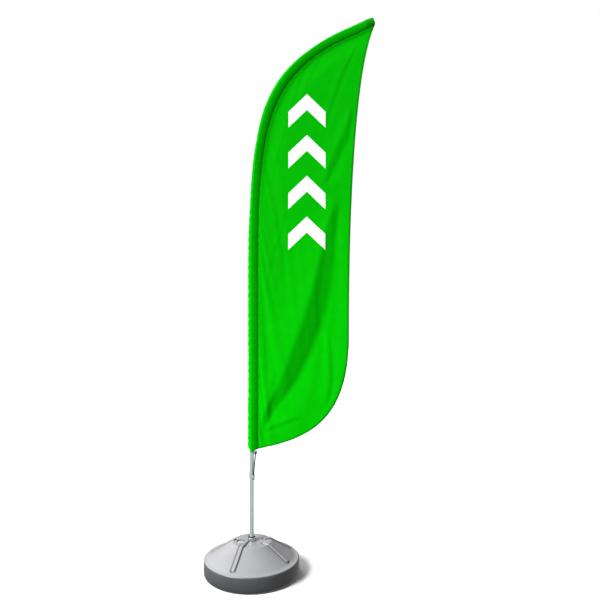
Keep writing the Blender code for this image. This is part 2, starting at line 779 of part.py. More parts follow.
def build_sleeve(parts, fabric, webbing):
    """The fabric sleeve on the pole and the reinforced pocket on its tip."""
    end = SLEEVE_END - POCKET_WALL - GAP
    marks = [SLEEVE_BOTTOM, SECTION_1_TOP + FERRULE_COLLAR, SECTION_1_TOP + SPIGOT_UP]
    marks += stations(SECTION_2_TOP - SPIGOT_UP, end)
    outer = [sleeve_section(m, SLEEVE_WALL, SLEEVE_SEAM, SEAM_HALF_THICKNESS) for m in marks]
    inner_seam = SLEEVE_SEAM - 3 * SLEEVE_WALL
    inner = [sleeve_section(m, 0.0, inner_seam, SEAM_HALF_THICKNESS - SLEEVE_WALL)
             for m in marks]
    sleeve = loft("pole_sleeve", outer, inner, parts)
    sleeve.data.materials.append(fabric)

    pocket_marks = stations(SLEEVE_END - POCKET_LENGTH, SLEEVE_END)
    grow = SLEEVE_WALL + GAP
    seam = SLEEVE_SEAM + GAP
    half = SEAM_HALF_THICKNESS + GAP
    inner_marks = pocket_marks[:-1] + [SLEEVE_END - POCKET_WALL]
    pocket_inner = [sleeve_section(m, grow, seam, half) for m in inner_marks]
    pocket_outer = [sleeve_section(m, grow + POCKET_WALL, seam + POCKET_WALL,
                                   half + POCKET_WALL) for m in pocket_marks]
    pocket = loft("tip_pocket", pocket_outer, pocket_inner, parts, end_closed=True)
    pocket.data.materials.append(webbing)


def cubic(a, b, c, d, count):
    """Points of a cubic curve after its first."""
    points = []
    for step in range(1, count + 1):
        t = step / count
        weights = ((1 - t)**3, 3 * (1 - t)**2 * t, 3 * (1 - t) * t**2, t**3)
        points.append(tuple(sum(w * p[i] for w, p in zip(weights, (a, b, c, d)))
                            for i in range(2)))
    return points


def build_panel(parts, fabric):
    """The flag's panel: the seam up the sleeve, then the fly edge back to the corner."""
    seam = SLEEVE_SEAM + GAP
    top = SLEEVE_END - POCKET_LENGTH - GAP
    marks = stations(SECTION_2_TOP - SPIGOT_UP, top)
    outline = [(seam, PANEL_CORNER_Z)]
    for mark in marks:
        point, _, inward = pole_frame(mark)
        edge = point + inward * seam
        outline.append((edge.x, edge.z))
    tip_point, _, inward = pole_frame(SLEEVE_END - GAP)
    clear = seam + GAP + POCKET_WALL
    start_point, _, start_inward = pole_frame(top)
    step_in = start_point + start_inward * clear
    tip = tip_point + inward * clear
    outline += [(step_in.x, step_in.z), (tip.x, tip.z)]
    wide = FLY_WIDEST
    outline += cubic((tip.x, tip.z), FLY_TIP_PULL, (wide[0], wide[1] + FLY_UPPER_PULL), wide, 20)
    outline += cubic(wide, (wide[0], wide[1] - FLY_LOWER_PULL), FOOT_PULL,
                     (seam, PANEL_CORNER_Z), 16)[:-1]
    panel = flat_outline("flag_panel", outline, PANEL_THICKNESS, parts)
    panel.data.materials.append(fabric)


def build_eyelet(parts, tools, webbing, metal):
    """The tab at the sleeve's lower end and the eyelet that lines its hole."""
    top = SLEEVE_BOTTOM - GAP
    centre_z = SLEEVE_BOTTOM - EYELET_DROP
    tab = block("corner_tab", (TAB_WIDTH, TAB_THICKNESS, TAB_HEIGHT),
                (EYELET_X, 0.0, top - TAB_HEIGHT / 2.0), parts)
    tab.data.materials.append(webbing)
    barrel = EYELET_BORE_RADIUS + EYELET_BARREL_WALL
    hole = cylinder("tab_hole", barrel + GAP, -TAB_THICKNESS, TAB_THICKNESS, (0.0, 0.0), tools, 16)
    hole.location = (EYELET_X, 0.0, centre_z)
    hole.rotation_euler = (math.radians(90.0), 0.0, 0.0)
    combine(tab, hole, "DIFFERENCE")
    half = TAB_THICKNESS / 2.0 + GAP
    face = half + EYELET_FLANGE
    outline = [
        (EYELET_BORE_RADIUS, face),
        (EYELET_FLANGE_RADIUS, face),
        (EYELET_FLANGE_RADIUS, half),
        (barrel, half),
        (barrel, -half),
        (EYELET_FLANGE_RADIUS, -half),
        (EYELET_FLANGE_RADIUS, -face),
        (EYELET_BORE_RADIUS, -face),
    ]
    eyelet = turned("corner_eyelet", outline, parts, 16, closed=True,
                    at=(EYELET_X, 0.0, centre_z))
    eyelet.rotation_euler = (math.radians(90.0), 0.0, 0.0)
    eyelet.data.materials.append(metal)


def lug_centre():
    """The clip's lug hole in plan."""
    turn = math.radians(LUG_DIRECTION)
    return (LUG_REACH * math.cos(turn), LUG_REACH * math.sin(turn))


def build_clip(parts, tools, plastic):
    """The ring that grips the pole, with a lug that has the cord's hole."""
    bore = SECTION_1_RADIUS + GAP
    clip = ring("pole_clip", bore, bore + CLIP_WALL, CLIP_Z, CLIP_Z + CLIP_HEIGHT, parts, 40)
    clip.data.materials.append(plastic)
    x, y = lug_centre()
    lug = cylinder("lug", LUG_RADIUS, CLIP_Z, CLIP_Z + LUG_HEIGHT, (x, y), tools, 24)
    combine(clip, lug, "UNION")
    below, above = CLIP_Z - 0.01, CLIP_Z + CLIP_HEIGHT + 0.01
    pole = cylinder("clip_bore", bore, below, above, (0.0, 0.0), tools, 40)
    combine(clip, pole, "DIFFERENCE")
    hole = cylinder("lug_hole", CORD_RADIUS + GAP, below, above, (x, y), tools, 20)
    combine(clip, hole, "DIFFERENCE")


def smooth_route(route, step):
    """Points a step apart on a smooth curve through the route's points."""
    points = [Vector(p) for p in route]
    padded = [2 * points[0] - points[1]] + points + [2 * points[-1] - points[-2]]
    fine = []
    for a, b, c, d in zip(padded, padded[1:], padded[2:], padded[3:]):
        pieces = max(1, math.ceil((c - b).length / step))
        for i in range(pieces):
            t = i / pieces
            fine.append(0.5 * (2 * b + (c - a) * t + (2 * a - 5 * b + 4 * c - d) * t * t
                               + (3 * b - a - 3 * c + d) * t**3))
    fine.append(points[-1])
    return fine


def build_cord(parts, elastic, plastic):
    """The elastic cord from the eyelet down to the clip's lug, and a bead on each end."""
    x, y = lug_centre()
    eye_z = SLEEVE_BOTTOM - EYELET_DROP
    eye_face = TAB_THICKNESS / 2.0 + GAP + EYELET_FLANGE
    back = eye_face + GAP + BEAD_LENGTH
    lug_top = CLIP_Z + LUG_HEIGHT
    end = CLIP_Z - GAP - BEAD_LENGTH
    route = [
        (EYELET_X, back, eye_z),
        (EYELET_X, 0.0, eye_z),
        (EYELET_X, -eye_face - 0.0008, eye_z),
        (EYELET_X - 0.0003, -eye_face - 0.0055, eye_z - 0.0040),
        (EYELET_X - 0.0012, -eye_face - 0.0078, eye_z - 0.0140),
        (x + 0.0022, y + 0.0020, lug_top + 0.024),
        (x, y, lug_top + 0.004),
        (x, y, lug_top - 0.006),
        (x, y, end),
    ]
    points = smooth_route(route, CORD_STEP)
    curve = bpy.data.curves.new("tension_cord", "CURVE")
    curve.dimensions = "3D"
    curve.bevel_depth = CORD_RADIUS
    curve.bevel_resolution = 2
    curve.use_fill_caps = True
    spline = curve.splines.new("POLY")
    spline.points.add(len(points) - 1)
    for place, point in zip(points, spline.points):
        point.co = (*place, 1.0)
    cord = bpy.data.objects.new("tension_cord", curve)
    parts.objects.link(cord)
    cord.data.materials.append(elastic)

    bore = CORD_RADIUS + GAP
    upper = ring("cord_bead_upper", bore, BEAD_RADIUS, -BEAD_LENGTH / 2, BEAD_LENGTH / 2, parts,
                 20, at=(EYELET_X, eye_face + GAP + BEAD_LENGTH / 2, eye_z))
    upper.rotation_euler = (math.radians(90.0), 0.0, 0.0)
    upper.data.materials.append(plastic)
    lower = ring("cord_bead_lower", bore, BEAD_RADIUS, end, end + BEAD_LENGTH, parts, 20,
                 at=(x, y, 0.0))
    lower.data.materials.append(plastic)


def main():
    """Build every piece."""
    clear_scene()
    parts = new_collection(NAME)
    tools = new_collection("cutters")
    grey_plastic = make_material("tank_plastic", (0.35, 0.35, 0.36), 0.42)
    cap_plastic = make_material("cap_plastic", (0.62, 0.62, 0.63), 0.40)
    clip_plastic = make_material("clip_plastic", (0.55, 0.62, 0.58), 0.40)
    bush_plastic = make_material("bush_plastic", (0.75, 0.74, 0.70), 0.50)
    rubber = make_material("rubber", (0.03, 0.03, 0.03), 0.80)
    steel = make_material("zinc_steel", (0.55, 0.57, 0.58), 0.35, 1.0)
    brass = make_material("brass", (0.60, 0.45, 0.20), 0.35, 1.0)
    aluminium = make_material("aluminium", (0.70, 0.78, 0.75), 0.35, 1.0)
    fibreglass = make_material("fibreglass", (0.55, 0.56, 0.52), 0.45)
    fabric = make_material("green_fabric", (0.0, 0.60, 0.0), 0.80)
    webbing = make_material("green_webbing", (0.0, 0.30, 0.02), 0.85)
    elastic = make_material("elastic_cord", (0.06, 0.07, 0.07), 0.85)
    build_tank(parts, tools, grey_plastic)
    build_filler(parts, tools, cap_plastic, rubber)
    build_spindle(parts, tools, steel, brass, bush_plastic)
    build_pole(parts, aluminium, fibreglass, rubber, steel)
    build_sleeve(parts, fabric, webbing)
    build_panel(parts, fabric)
    build_eyelet(parts, tools, webbing, steel)
    build_clip(parts, tools, clip_plastic)
    build_cord(parts, elastic, rubber)


main()
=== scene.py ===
"""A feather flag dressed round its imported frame.

A leaf-shaped green flag is sewn to a sleeve on a bent sectional pole. The pole turns on a
spindle in a round water base, and an elastic cord holds the sleeve's lower end down.
Metres, +Z up. The flag lies in the XZ plane and flies towards +X; the front is towards -Y.
"""

import json
import logging
import math
from dataclasses import dataclass
from enum import Enum
from functools import cached_property

import bpy
import numpy as np
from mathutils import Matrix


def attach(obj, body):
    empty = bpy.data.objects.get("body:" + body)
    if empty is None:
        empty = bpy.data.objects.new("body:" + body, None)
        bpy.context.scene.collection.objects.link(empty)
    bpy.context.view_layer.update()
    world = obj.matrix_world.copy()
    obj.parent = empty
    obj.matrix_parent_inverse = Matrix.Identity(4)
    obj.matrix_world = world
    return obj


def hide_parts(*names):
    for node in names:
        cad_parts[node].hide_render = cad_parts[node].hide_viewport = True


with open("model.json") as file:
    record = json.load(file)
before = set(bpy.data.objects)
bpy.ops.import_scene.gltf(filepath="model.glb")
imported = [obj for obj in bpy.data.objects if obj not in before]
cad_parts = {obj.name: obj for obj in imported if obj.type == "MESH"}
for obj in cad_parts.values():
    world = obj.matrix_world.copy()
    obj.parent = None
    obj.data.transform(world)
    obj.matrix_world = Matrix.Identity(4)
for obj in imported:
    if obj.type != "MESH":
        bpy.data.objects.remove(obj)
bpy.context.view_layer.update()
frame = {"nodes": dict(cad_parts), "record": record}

LOG = logging.getLogger("feather_flag")
UV_FLAT = "flat"               # metres on the cloth as it was cut
UV_EDGE = "edge"               # metres from a stitched edge and along it, or the tank's painted crevice shade


def linear(colour: str) -> tuple[float, float, float, float]:
    """Turn an sRGB hex colour to linear values.

    Args:
        colour: Six hex digits.

    Returns:
        Red, green, blue and an alpha of one.
    """
    shares = [int(colour[i:i + 2], 16) / 255.0 for i in (0, 2, 4)]
    return (*[s / 12.92 if s <= 0.04045 else ((s + 0.055) / 1.055)**2.4 for s in shares], 1.0)


def wave_scale(spacing: float) -> float:
    """The Wave Texture scale whose bands lie this far apart, in metres."""
    return math.pi / 10.0 / spacing


def ease(share: np.ndarray) -> np.ndarray:
    """Clip a share to 0..1 and smooth both its ends."""
    share = np.clip(share, 0.0, 1.0)
    return share * share * (3.0 - 2.0 * share)


def add(tree: bpy.types.NodeTree, kind: str, settings: dict | None = None,
        links: dict | None = None) -> bpy.types.Node:
    """Add a node with its settings and links.

    Args:
        tree: The node tree.
        kind: The node's type without its ShaderNode prefix.
        settings: Attributes, or input sockets by name or index, and their values.
        links: Input sockets and the node or output socket that feeds each.

    Returns:
        The new node.
    """
    node = tree.nodes.new("ShaderNode" + kind)
    for key, value in (settings or {}).items():
        if isinstance(key, str) and hasattr(node, key):
            setattr(node, key, value)
        else:
            node.inputs[key].default_value = value
    for key, source in (links or {}).items():
        output = source.outputs[0] if isinstance(source, bpy.types.Node) else source
        tree.links.new(output, node.inputs[key])
    return node


def mixed(tree: bpy.types.NodeTree, share: bpy.types.Node, first: object,
          second: object) -> bpy.types.NodeSocket:
    """Mix two colours.

    Args:
        tree: The node tree.
        share: The node that gives how much of the second colour shows.
        first: A colour, or the socket that gives it.
        second: A colour, or the socket that gives it.

    Returns:
        The mixed colour's socket.
    """
    settings, links = {"data_type": "RGBA"}, {0: share}
    for index, colour in ((6, first), (7, second)):
        (settings if isinstance(colour, tuple) else links)[index] = colour
    return add(tree, "Mix", settings, links).outputs[2]


def new_material(name: str) -> tuple[bpy.types.Material, bpy.types.NodeTree, bpy.types.Node]:
    """Start a material.

    Args:
        name: The material's name.

    Returns:
        The material, its node tree and its Principled shader.
    """
    material = bpy.data.materials.new(name)
    material.use_nodes = True
    return material, material.node_tree, material.node_tree.nodes["Principled BSDF"]


def wire(tree: bpy.types.NodeTree, shader: bpy.types.Node, colour: bpy.types.NodeSocket,
         gloss: bpy.types.Node, bump: bpy.types.Node) -> None:
    """Feed a shader.

    Args:
        tree: The node tree.
        shader: The Principled shader.
        colour: The socket that gives the base colour.
        gloss: The node that gives the roughness.
        bump: The node that gives the normal.
    """
    sources = {"Base Color": colour, "Roughness": gloss.outputs[0], "Normal": bump.outputs[0]}
    for name, source in sources.items():
        tree.links.new(source, shader.inputs[name])


def new_piece(name: str, points: np.ndarray, faces: list) -> bpy.types.Object:
    """Make a smooth-shaded mesh object.

    Args:
        name: The piece's name.
        points: One row of three metres for each vertex.
        faces: The vertex numbers of each face.

    Returns:
        The object, linked to the scene.
    """
    mesh = bpy.data.meshes.new(name)
    mesh.from_pydata(np.asarray(points, float).tolist(), [], faces)
    mesh.validate()
    mesh.shade_smooth()
    piece = bpy.data.objects.new(name, mesh)
    bpy.context.scene.collection.objects.link(piece)
    return piece


def grid_faces(rows: int, columns: int, closed: bool = False, flip: bool = False) -> list:
    """The quads of a grid of vertices.

    Args:
        rows: How many rows there are.
        columns: How many vertices each row has.
        closed: Whether each row joins up with its own start.
        flip: Whether the faces turn the other way.

    Returns:
        Four vertex numbers for each quad.
    """
    faces = []
    for row in range(rows - 1):
        for i in range(columns if closed else columns - 1):
            j = (i + 1) % columns
            low, high = row * columns, (row + 1) * columns
            quad = (low + i, low + j, high + j, high + i)
            faces.append(quad[::-1] if flip else quad)
    return faces


def tyre_faces(rows: int, columns: int) -> list:
    """The quads of a grid that is closed both ways, like a tyre.

    Args:
        rows: How many rows there are.
        columns: How many vertices each row has.

    Returns:
        Four vertex numbers for each quad.
    """
    last = (rows - 1) * columns
    return grid_faces(rows, columns, True) + [
        (last + i, last + (i + 1) % columns, (i + 1) % columns, i) for i in range(columns)]


def lay_out(piece: bpy.types.Object, layer: str, places: np.ndarray) -> None:
    """Give a mesh a UV layer from one place per vertex.

    Args:
        piece: The mesh object.
        layer: The layer's name.
        places: One row of two values for each vertex.
    """
    mesh = piece.data
    corners = np.zeros(len(mesh.loops), np.int32)
    mesh.loops.foreach_get("vertex_index", corners)
    mesh.uv_layers.new(name=layer).data.foreach_set("uv", np.asarray(places)[corners].ravel())


def smooth_path(points: list, count: int) -> np.ndarray:
    """Evenly spaced points on a smooth curve through given points.

    Args:
        points: The points to pass through.
        count: How many points to give back.

    Returns:
        One row for each point.
    """
    given = np.array(points, float)
    given = np.vstack([2 * given[0] - given[1], given, 2 * given[-1] - given[-2]])
    fine = []
    for a, b, c, d in zip(given, given[1:], given[2:], given[3:]):
        for t in np.linspace(0.0, 1.0, 24, endpoint=False):
            fine.append(0.5 * (2 * b + (c - a) * t + (2 * a - 5 * b + 4 * c - d) * t * t
                               + (3 * b - a - 3 * c + d) * t**3))
    fine = np.array(fine + [given[-2]])
    lengths = np.append(0.0, np.cumsum(np.linalg.norm(np.diff(fine, axis=0), axis=1)))
    wanted = np.linspace(0.0, lengths[-1], count)
    return np.stack([np.interp(wanted, lengths, fine[:, k]) for k in range(fine.shape[1])], 1)


def cubic(points: list, count: int) -> np.ndarray:
    """Points of a cubic curve from its four control points, first to last."""
    t = np.linspace(0.0, 1.0, count)[:, None]
    a, b, c, d = (np.array(p, float) for p in points)
    return (1 - t)**3 * a + 3 * (1 - t)**2 * t * b + 3 * (1 - t) * t**2 * c + t**3 * d


def ripple(places: np.ndarray, seed: int) -> np.ndarray:
    """An uneven wave of about one unit's length, between -1 and 1, along some places."""
    draw = np.random.default_rng(seed)
    total = np.zeros_like(places)
    for turn in (0.73, 1.0, 1.41, 2.13):
        total += np.sin(2.0 * math.pi * (places * turn + draw.random())) * 0.7 / turn
    return np.clip(total, -1.6, 1.6) / 1.6


def thicken(piece: bpy.types.Object, thickness: float, offset: float) -> None:
    """Give a sheet its thickness.

    Args:
        piece: The sheet.
        thickness: Metres.
        offset: 0 to grow on both sides, or -1 to grow inwards.
    """
    wall = piece.modifiers.new("thickness", "SOLIDIFY")
    wall.thickness = thickness
    wall.offset = offset


def dress(piece: bpy.types.Object, material: bpy.types.Material) -> None:
    """Give a piece its one material."""
    piece.data.materials.clear()
    piece.data.materials.append(material)


class Lay(Enum):
    """Which way the fine lines of a metal's surface run."""

    ROUND = "Z"
    LENGTHWISE = "X"


@dataclass(frozen=True)
class MouldedPlastic:
    """Moulded plastic: an even satin skin with the mould's fine grain and faint flow marks."""

    name: str
    colour: str
    worn: str
    roughness: float = 0.42
    ior: float = 1.49
    patches: float = 14.0      # soft patches of tone to the metre
    grain: float = 0.0016      # real grain is near 0.3 mm, drawn coarser so that it shows

    def make(self) -> bpy.types.Material:
        """Build the material."""
        material, tree, shader = new_material(self.name)
        place = add(tree, "TexCoord").outputs["Object"]
        cloud = add(tree, "TexNoise", {"Scale": self.patches, "Detail": 3.0}, {"Vector": place})
        tint = add(tree, "MapRange", {1: 0.35, 2: 0.75, 3: 0.0, 4: 0.35}, {0: cloud})
        grain = add(tree, "TexNoise", {"Scale": 1.0 / self.grain, "Detail": 2.0},
                    {"Vector": place})
        bump = add(tree, "Bump", {"Strength": 0.12, "Distance": 0.0004}, {"Height": grain})
        gloss = add(tree, "MapRange", {1: 0.3, 2: 0.7, 3: self.roughness - 0.05,
                                       4: self.roughness + 0.07}, {0: cloud})
        colour = mixed(tree, tint, linear(self.colour), linear(self.worn))
        shader.inputs["IOR"].default_value = self.ior
        wire(tree, shader, colour, gloss, bump)
        return material


@dataclass(frozen=True)
class TankPlastic:
    """Blow-moulded polythene: a waxy, grained satin skin. Below the rim the side is painted dark,
    partly as a darker moulding and partly as painted shade, and darker still towards the foot as
    painted shade. Painted shade also lies in the crevices.
    """

    name: str = "blow_moulded_polythene"
    dome: str = "8A8A8D"
    # the side's colour below the rim, partly painted shade, and the painted shade at the foot
    shaded_side: str = "464749"
    shaded_foot: str = "262728"
    crevice_shade_colour: str = "3A3A3C"
    scuff: str = "B2B2B4"
    shaded_side_top: float = 0.0795   # the painted dark side ends just below the rim
    shaded_side_blend: float = 0.0030
    patches: float = 9.0       # soft patches of tone to the metre
    scratches: tuple[float, float, float] = (26.0, 210.0, 60.0)    # to the metre, each way
    grain: float = 0.0021      # the mould's blasted skin is near 0.5 mm, drawn coarser

    def make(self) -> bpy.types.Material:
        """Build the material."""
        material, tree, shader = new_material(self.name)
        place = add(tree, "TexCoord").outputs["Object"]
        height = add(tree, "SeparateXYZ", {}, {0: place}).outputs[2]
        # painted dark side below the rim: partly a darker moulding, partly painted shade where
        # the side is turned from the light
        side = add(tree, "MapRange", {1: self.shaded_side_top, 2: self.shaded_side_top + self.shaded_side_blend,
                                      3: 1.0, 4: 0.0}, {0: height})
        cloud = add(tree, "TexNoise", {"Scale": self.patches, "Detail": 4.0}, {"Vector": place})
        shade = add(tree, "MapRange", {1: 0.3, 2: 0.7, 3: 0.93, 4: 1.05}, {0: cloud})
        scratch_place = add(tree, "Mapping", {"Scale": self.scratches}, {0: place})
        scratch = add(tree, "TexNoise", {"Scale": 1.0, "Detail": 2.0},
                      {"Vector": scratch_place})
        marks = add(tree, "MapRange", {1: 0.70, 2: 0.78, 3: 0.0, 4: 0.35}, {0: scratch})
        grain = add(tree, "TexNoise", {"Scale": 1.0 / self.grain, "Detail": 3.0},
                    {"Vector": place})
        # painted shade in the crevices beside the ribs and on the filler recess's walls, read
        # from the tank's edge layer
        crevice_shade_mask = add(tree, "SeparateXYZ", {}, {0: add(tree, "UVMap", {"uv_map": UV_EDGE})})
        # painted shade: the side grows darker towards the foot
        low = add(tree, "MapRange", {1: 0.0, 2: self.shaded_side_top, 3: 1.0, 4: 0.0}, {0: height})
        shaded = mixed(tree, low, linear(self.shaded_side), linear(self.shaded_foot))
        colour = mixed(tree, side, linear(self.dome), shaded)
        colour = mixed(tree, crevice_shade_mask, colour, linear(self.crevice_shade_colour))
        colour = mixed(tree, marks, colour, linear(self.scuff))
        toned = add(tree, "Mix", {"data_type": "RGBA", "blend_type": "MULTIPLY", 0: 1.0},
                    {6: colour, 7: shade})
        gloss = add(tree, "MapRange", {1: 0.3, 2: 0.7, 3: 0.36, 4: 0.50}, {0: cloud})
        bump = add(tree, "Bump", {"Strength": 0.18, "Distance": 0.0006}, {"Height": grain})
        shader.inputs["IOR"].default_value = 1.51
        wire(tree, shader, toned.outputs[2], gloss, bump)
        return material


@dataclass(frozen=True)
class Metal:
    """A drawn, turned or plated metal: fine lines one way and a soft broken shine."""

    name: str
    colour: str
    dull: str
    roughness: float
    lay: Lay = Lay.ROUND
    line: float = 0.0012       # tool lines are near 0.2 mm, drawn coarser so that they show
    runs: float = 6.0          # how often a line breaks off in each metre
    patches: float = 38.0      # dull patches to the metre
    depth: float = 0.10

    def make(self) -> bpy.types.Material:
        """Build the material."""
        material, tree, shader = new_material(self.name)
        place = add(tree, "TexCoord").outputs["Object"]
        fine, runs = 1.0 / self.line, self.runs
        scale = (runs, runs, fine) if self.lay is Lay.ROUND else (fine, fine, runs)
        along = add(tree, "Mapping", {"Scale": scale}, {0: place})
        lines = add(tree, "TexNoise", {"Scale": 1.0, "Detail": 3.0}, {"Vector": along})
        cloud = add(tree, "TexNoise", {"Scale": self.patches, "Detail": 3.0}, {"Vector": place})
        tint = add(tree, "MapRange", {1: 0.35, 2: 0.75, 3: 0.0, 4: 0.7}, {0: cloud})
        gloss = add(tree, "MapRange", {1: 0.3, 2: 0.7, 3: self.roughness - 0.06,
                                       4: self.roughness + 0.08}, {0: lines})
        bump = add(tree, "Bump", {"Strength": self.depth, "Distance": 0.0003},
                   {"Height": lines})
        colour = mixed(tree, tint, linear(self.colour), linear(self.dull))
        shader.inputs["Metallic"].default_value = 1.0
        wire(tree, shader, colour, gloss, bump)
        return material


@dataclass(frozen=True)
class FlagKnit:
    """Warp-knitted polyester: a soft matt cloth with fine ribs, stitched hems and a print."""

    name: str
    colour: str
    shade: str                 # the same dye painted darker where two layers lie on each other: painted shade for the light that comes through less
    thread: str
    printed: bool = False
    rib: float = 0.0026        # wales are near 1 mm, drawn coarser so that they show
    creases: float = 16.0      # soft creases to the metre
    hem: float = 0.011
    stitch_line: float = 0.0085
    stitch_width: float = 0.0009
    stitch_pitch: float = 0.0045
    print_middle: float = 0.2735
    print_half_width: float = 0.0915
    print_bottom: float = 1.600
    print_pitch: float = 0.2020
    print_count: int = 4
    print_stroke: float = 0.078
    print_slope: float = 0.95
    print_edge: float = 0.0006
    ink: str = "FDFDFD"
    top_shade_low: float = 0.70      # the cloth is painted a little lighter below and darker above, as painted shade, between these heights
    top_shade_high: float = 2.30

    def chevrons(self, tree: bpy.types.NodeTree, across: bpy.types.NodeSocket,
                 up: bpy.types.NodeSocket) -> bpy.types.Node:
        """A column of plain chevrons.

        Args:
            tree: The node tree.
            across: Metres across the flag.
            up: Metres up the flag.

        Returns:
            The node that gives 1 inside the chevrons.
        """
        centred = add(tree, "Math", {"operation": "SUBTRACT", 1: self.print_middle},
                      {0: across})
        reach = add(tree, "Math", {"operation": "ABSOLUTE"}, {0: centred})
        slanted = add(tree, "Math", {"operation": "MULTIPLY_ADD", 1: self.print_slope},
                      {0: reach, 2: up})
        raised = add(tree, "Math", {"operation": "SUBTRACT", 1: self.print_bottom
                                    + self.print_slope * self.print_half_width}, {0: slanted})
        step = add(tree, "Math", {"operation": "MODULO", 1: self.print_pitch}, {0: raised})
        edge = self.print_edge
        checks = [
            add(tree, "MapRange", {1: 0.0, 2: edge}, {0: step}),
            add(tree, "MapRange", {1: self.print_stroke, 2: self.print_stroke + edge,
                                   3: 1.0, 4: 0.0}, {0: step}),
            add(tree, "MapRange", {1: self.print_half_width, 2: self.print_half_width + edge,
                                   3: 1.0, 4: 0.0}, {0: reach}),
            add(tree, "MapRange", {1: 0.0, 2: edge}, {0: raised}),
            add(tree, "MapRange", {1: self.print_pitch * self.print_count - edge,
                                   2: self.print_pitch * self.print_count, 3: 1.0, 4: 0.0},
                {0: raised}),
        ]
        inside = checks[0]
        for check in checks[1:]:
            inside = add(tree, "Math", {"operation": "MULTIPLY"}, {0: inside, 1: check})
        return inside

    def make(self) -> bpy.types.Material:
        """Build the material."""
        material, tree, shader = new_material(self.name)
        flat = add(tree, "UVMap", {"uv_map": UV_FLAT})
        sides = add(tree, "SeparateXYZ", {}, {0: flat})
        edge = add(tree, "SeparateXYZ", {}, {0: add(tree, "UVMap", {"uv_map": UV_EDGE})})
        wales = add(tree, "TexWave", {"bands_direction": "X", "Scale": wave_scale(self.rib),
                                      "Distortion": 0.6}, {"Vector": flat})
        courses = add(tree, "TexWave", {"bands_direction": "Y",
                                        "Scale": wave_scale(self.rib * 0.8),
                                        "Distortion": 0.6}, {"Vector": flat})
        knit = add(tree, "Math", {"operation": "MULTIPLY"}, {0: wales, 1: courses})
        creases = add(tree, "TexNoise", {"Scale": self.creases, "Detail": 3.0}, {"Vector": flat})
        # painted shade along the hem, where two layers of cloth lie
        hem_shade = add(tree, "MapRange", {1: self.hem, 2: self.hem + 0.0006, 3: 1.0, 4: 0.0},
                      {0: edge.outputs[0]})
        off = add(tree, "Math", {"operation": "SUBTRACT", 1: self.stitch_line},
                  {0: edge.outputs[0]})
        near = add(tree, "Math", {"operation": "ABSOLUTE"}, {0: off})
        line = add(tree, "MapRange", {1: self.stitch_width / 2, 2: self.stitch_width,
                                      3: 1.0, 4: 0.0}, {0: near})
        beat = add(tree, "Math", {"operation": "PINGPONG", 1: self.stitch_pitch / 2},
                   {0: edge.outputs[1]})
        dash = add(tree, "MapRange", {1: self.stitch_pitch * 0.10, 2: self.stitch_pitch * 0.18},
                   {0: beat})
        stitch = add(tree, "Math", {"operation": "MULTIPLY"}, {0: line, 1: dash})
        # random tone from the creases, times painted shade that grows with height
        tone_and_top_shade = add(tree, "MapRange", {1: 0.3, 2: 0.7, 3: 0.96, 4: 1.03}, {0: creases})
        # painted shade: lighter low down, darker high up, where the cloth takes more light
        fade = add(tree, "MapRange", {1: self.top_shade_low, 2: self.top_shade_high, 3: 1.05, 4: 0.87},
                   {0: sides.outputs[1]})
        tone_and_top_shade = add(tree, "Math", {"operation": "MULTIPLY"}, {0: tone_and_top_shade, 1: fade})
        # painted shade: the cloth is darkened towards the thread colour where it turns edge-on to
        # the view
        grazing_shade = add(tree, "LayerWeight", {"Blend": 0.5}).outputs["Facing"]
        grazing_shade = add(tree, "MapRange", {1: 0.42, 2: 0.92, 3: 0.0, 4: 0.9}, {0: grazing_shade})
        colour = mixed(tree, hem_shade, linear(self.colour), linear(self.shade))
        colour = mixed(tree, grazing_shade, colour, linear(self.thread))
        if self.printed:
            ink = self.chevrons(tree, sides.outputs[0], sides.outputs[1])
            colour = mixed(tree, ink, colour, linear(self.ink))
        colour = mixed(tree, stitch, colour, linear(self.thread))
        toned = add(tree, "Mix", {"data_type": "RGBA", "blend_type": "MULTIPLY", 0: 1.0},
                    {6: colour, 7: tone_and_top_shade})
        ribs = add(tree, "Bump", {"Strength": 0.22, "Distance": 0.0004}, {"Height": knit})
        puckers = add(tree, "Bump", {"Strength": 0.30, "Distance": 0.0030},
                      {"Height": creases, "Normal": ribs})
        sewn = add(tree, "Bump", {"Strength": 0.6, "Distance": 0.0006},
                   {"Height": stitch, "Normal": puckers})
        gloss = add(tree, "MapRange", {3: 0.74, 4: 0.86}, {0: knit})
        shader.inputs["IOR"].default_value = 1.5
        shader.inputs["Specular IOR Level"].default_value = 0.03
        wire(tree, shader, toned.outputs[2], gloss, sewn)
        return material


@dataclass(frozen=True)
class Webbing:
    """Woven polyester webbing: close ribs across its width and a dull shine."""

    name: str
    colour: str
    shade: str
    rib: float = 0.0017

    def make(self) -> bpy.types.Material:
        """Build the material."""
        material, tree, shader = new_material(self.name)
        flat = add(tree, "UVMap", {"uv_map": UV_FLAT})
        weft = add(tree, "TexWave", {"bands_direction": "Y", "Scale": wave_scale(self.rib),
                                     "Distortion": 0.4}, {"Vector": flat})
        warp = add(tree, "TexWave", {"bands_direction": "X",
                                     "Scale": wave_scale(self.rib * 1.6),
                                     "Distortion": 0.4}, {"Vector": flat})
        weave = add(tree, "Math", {"operation": "MULTIPLY"}, {0: weft, 1: warp})
        colour = mixed(tree, weave, linear(self.shade), linear(self.colour))
        bump = add(tree, "Bump", {"Strength": 0.5, "Distance": 0.0005}, {"Height": weave})
        gloss = add(tree, "MapRange", {3: 0.62, 4: 0.80}, {0: weave})
        shader.inputs["IOR"].default_value = 1.5
        shader.inputs["Specular IOR Level"].default_value = 0.04
        wire(tree, shader, colour, gloss, bump)
        return material


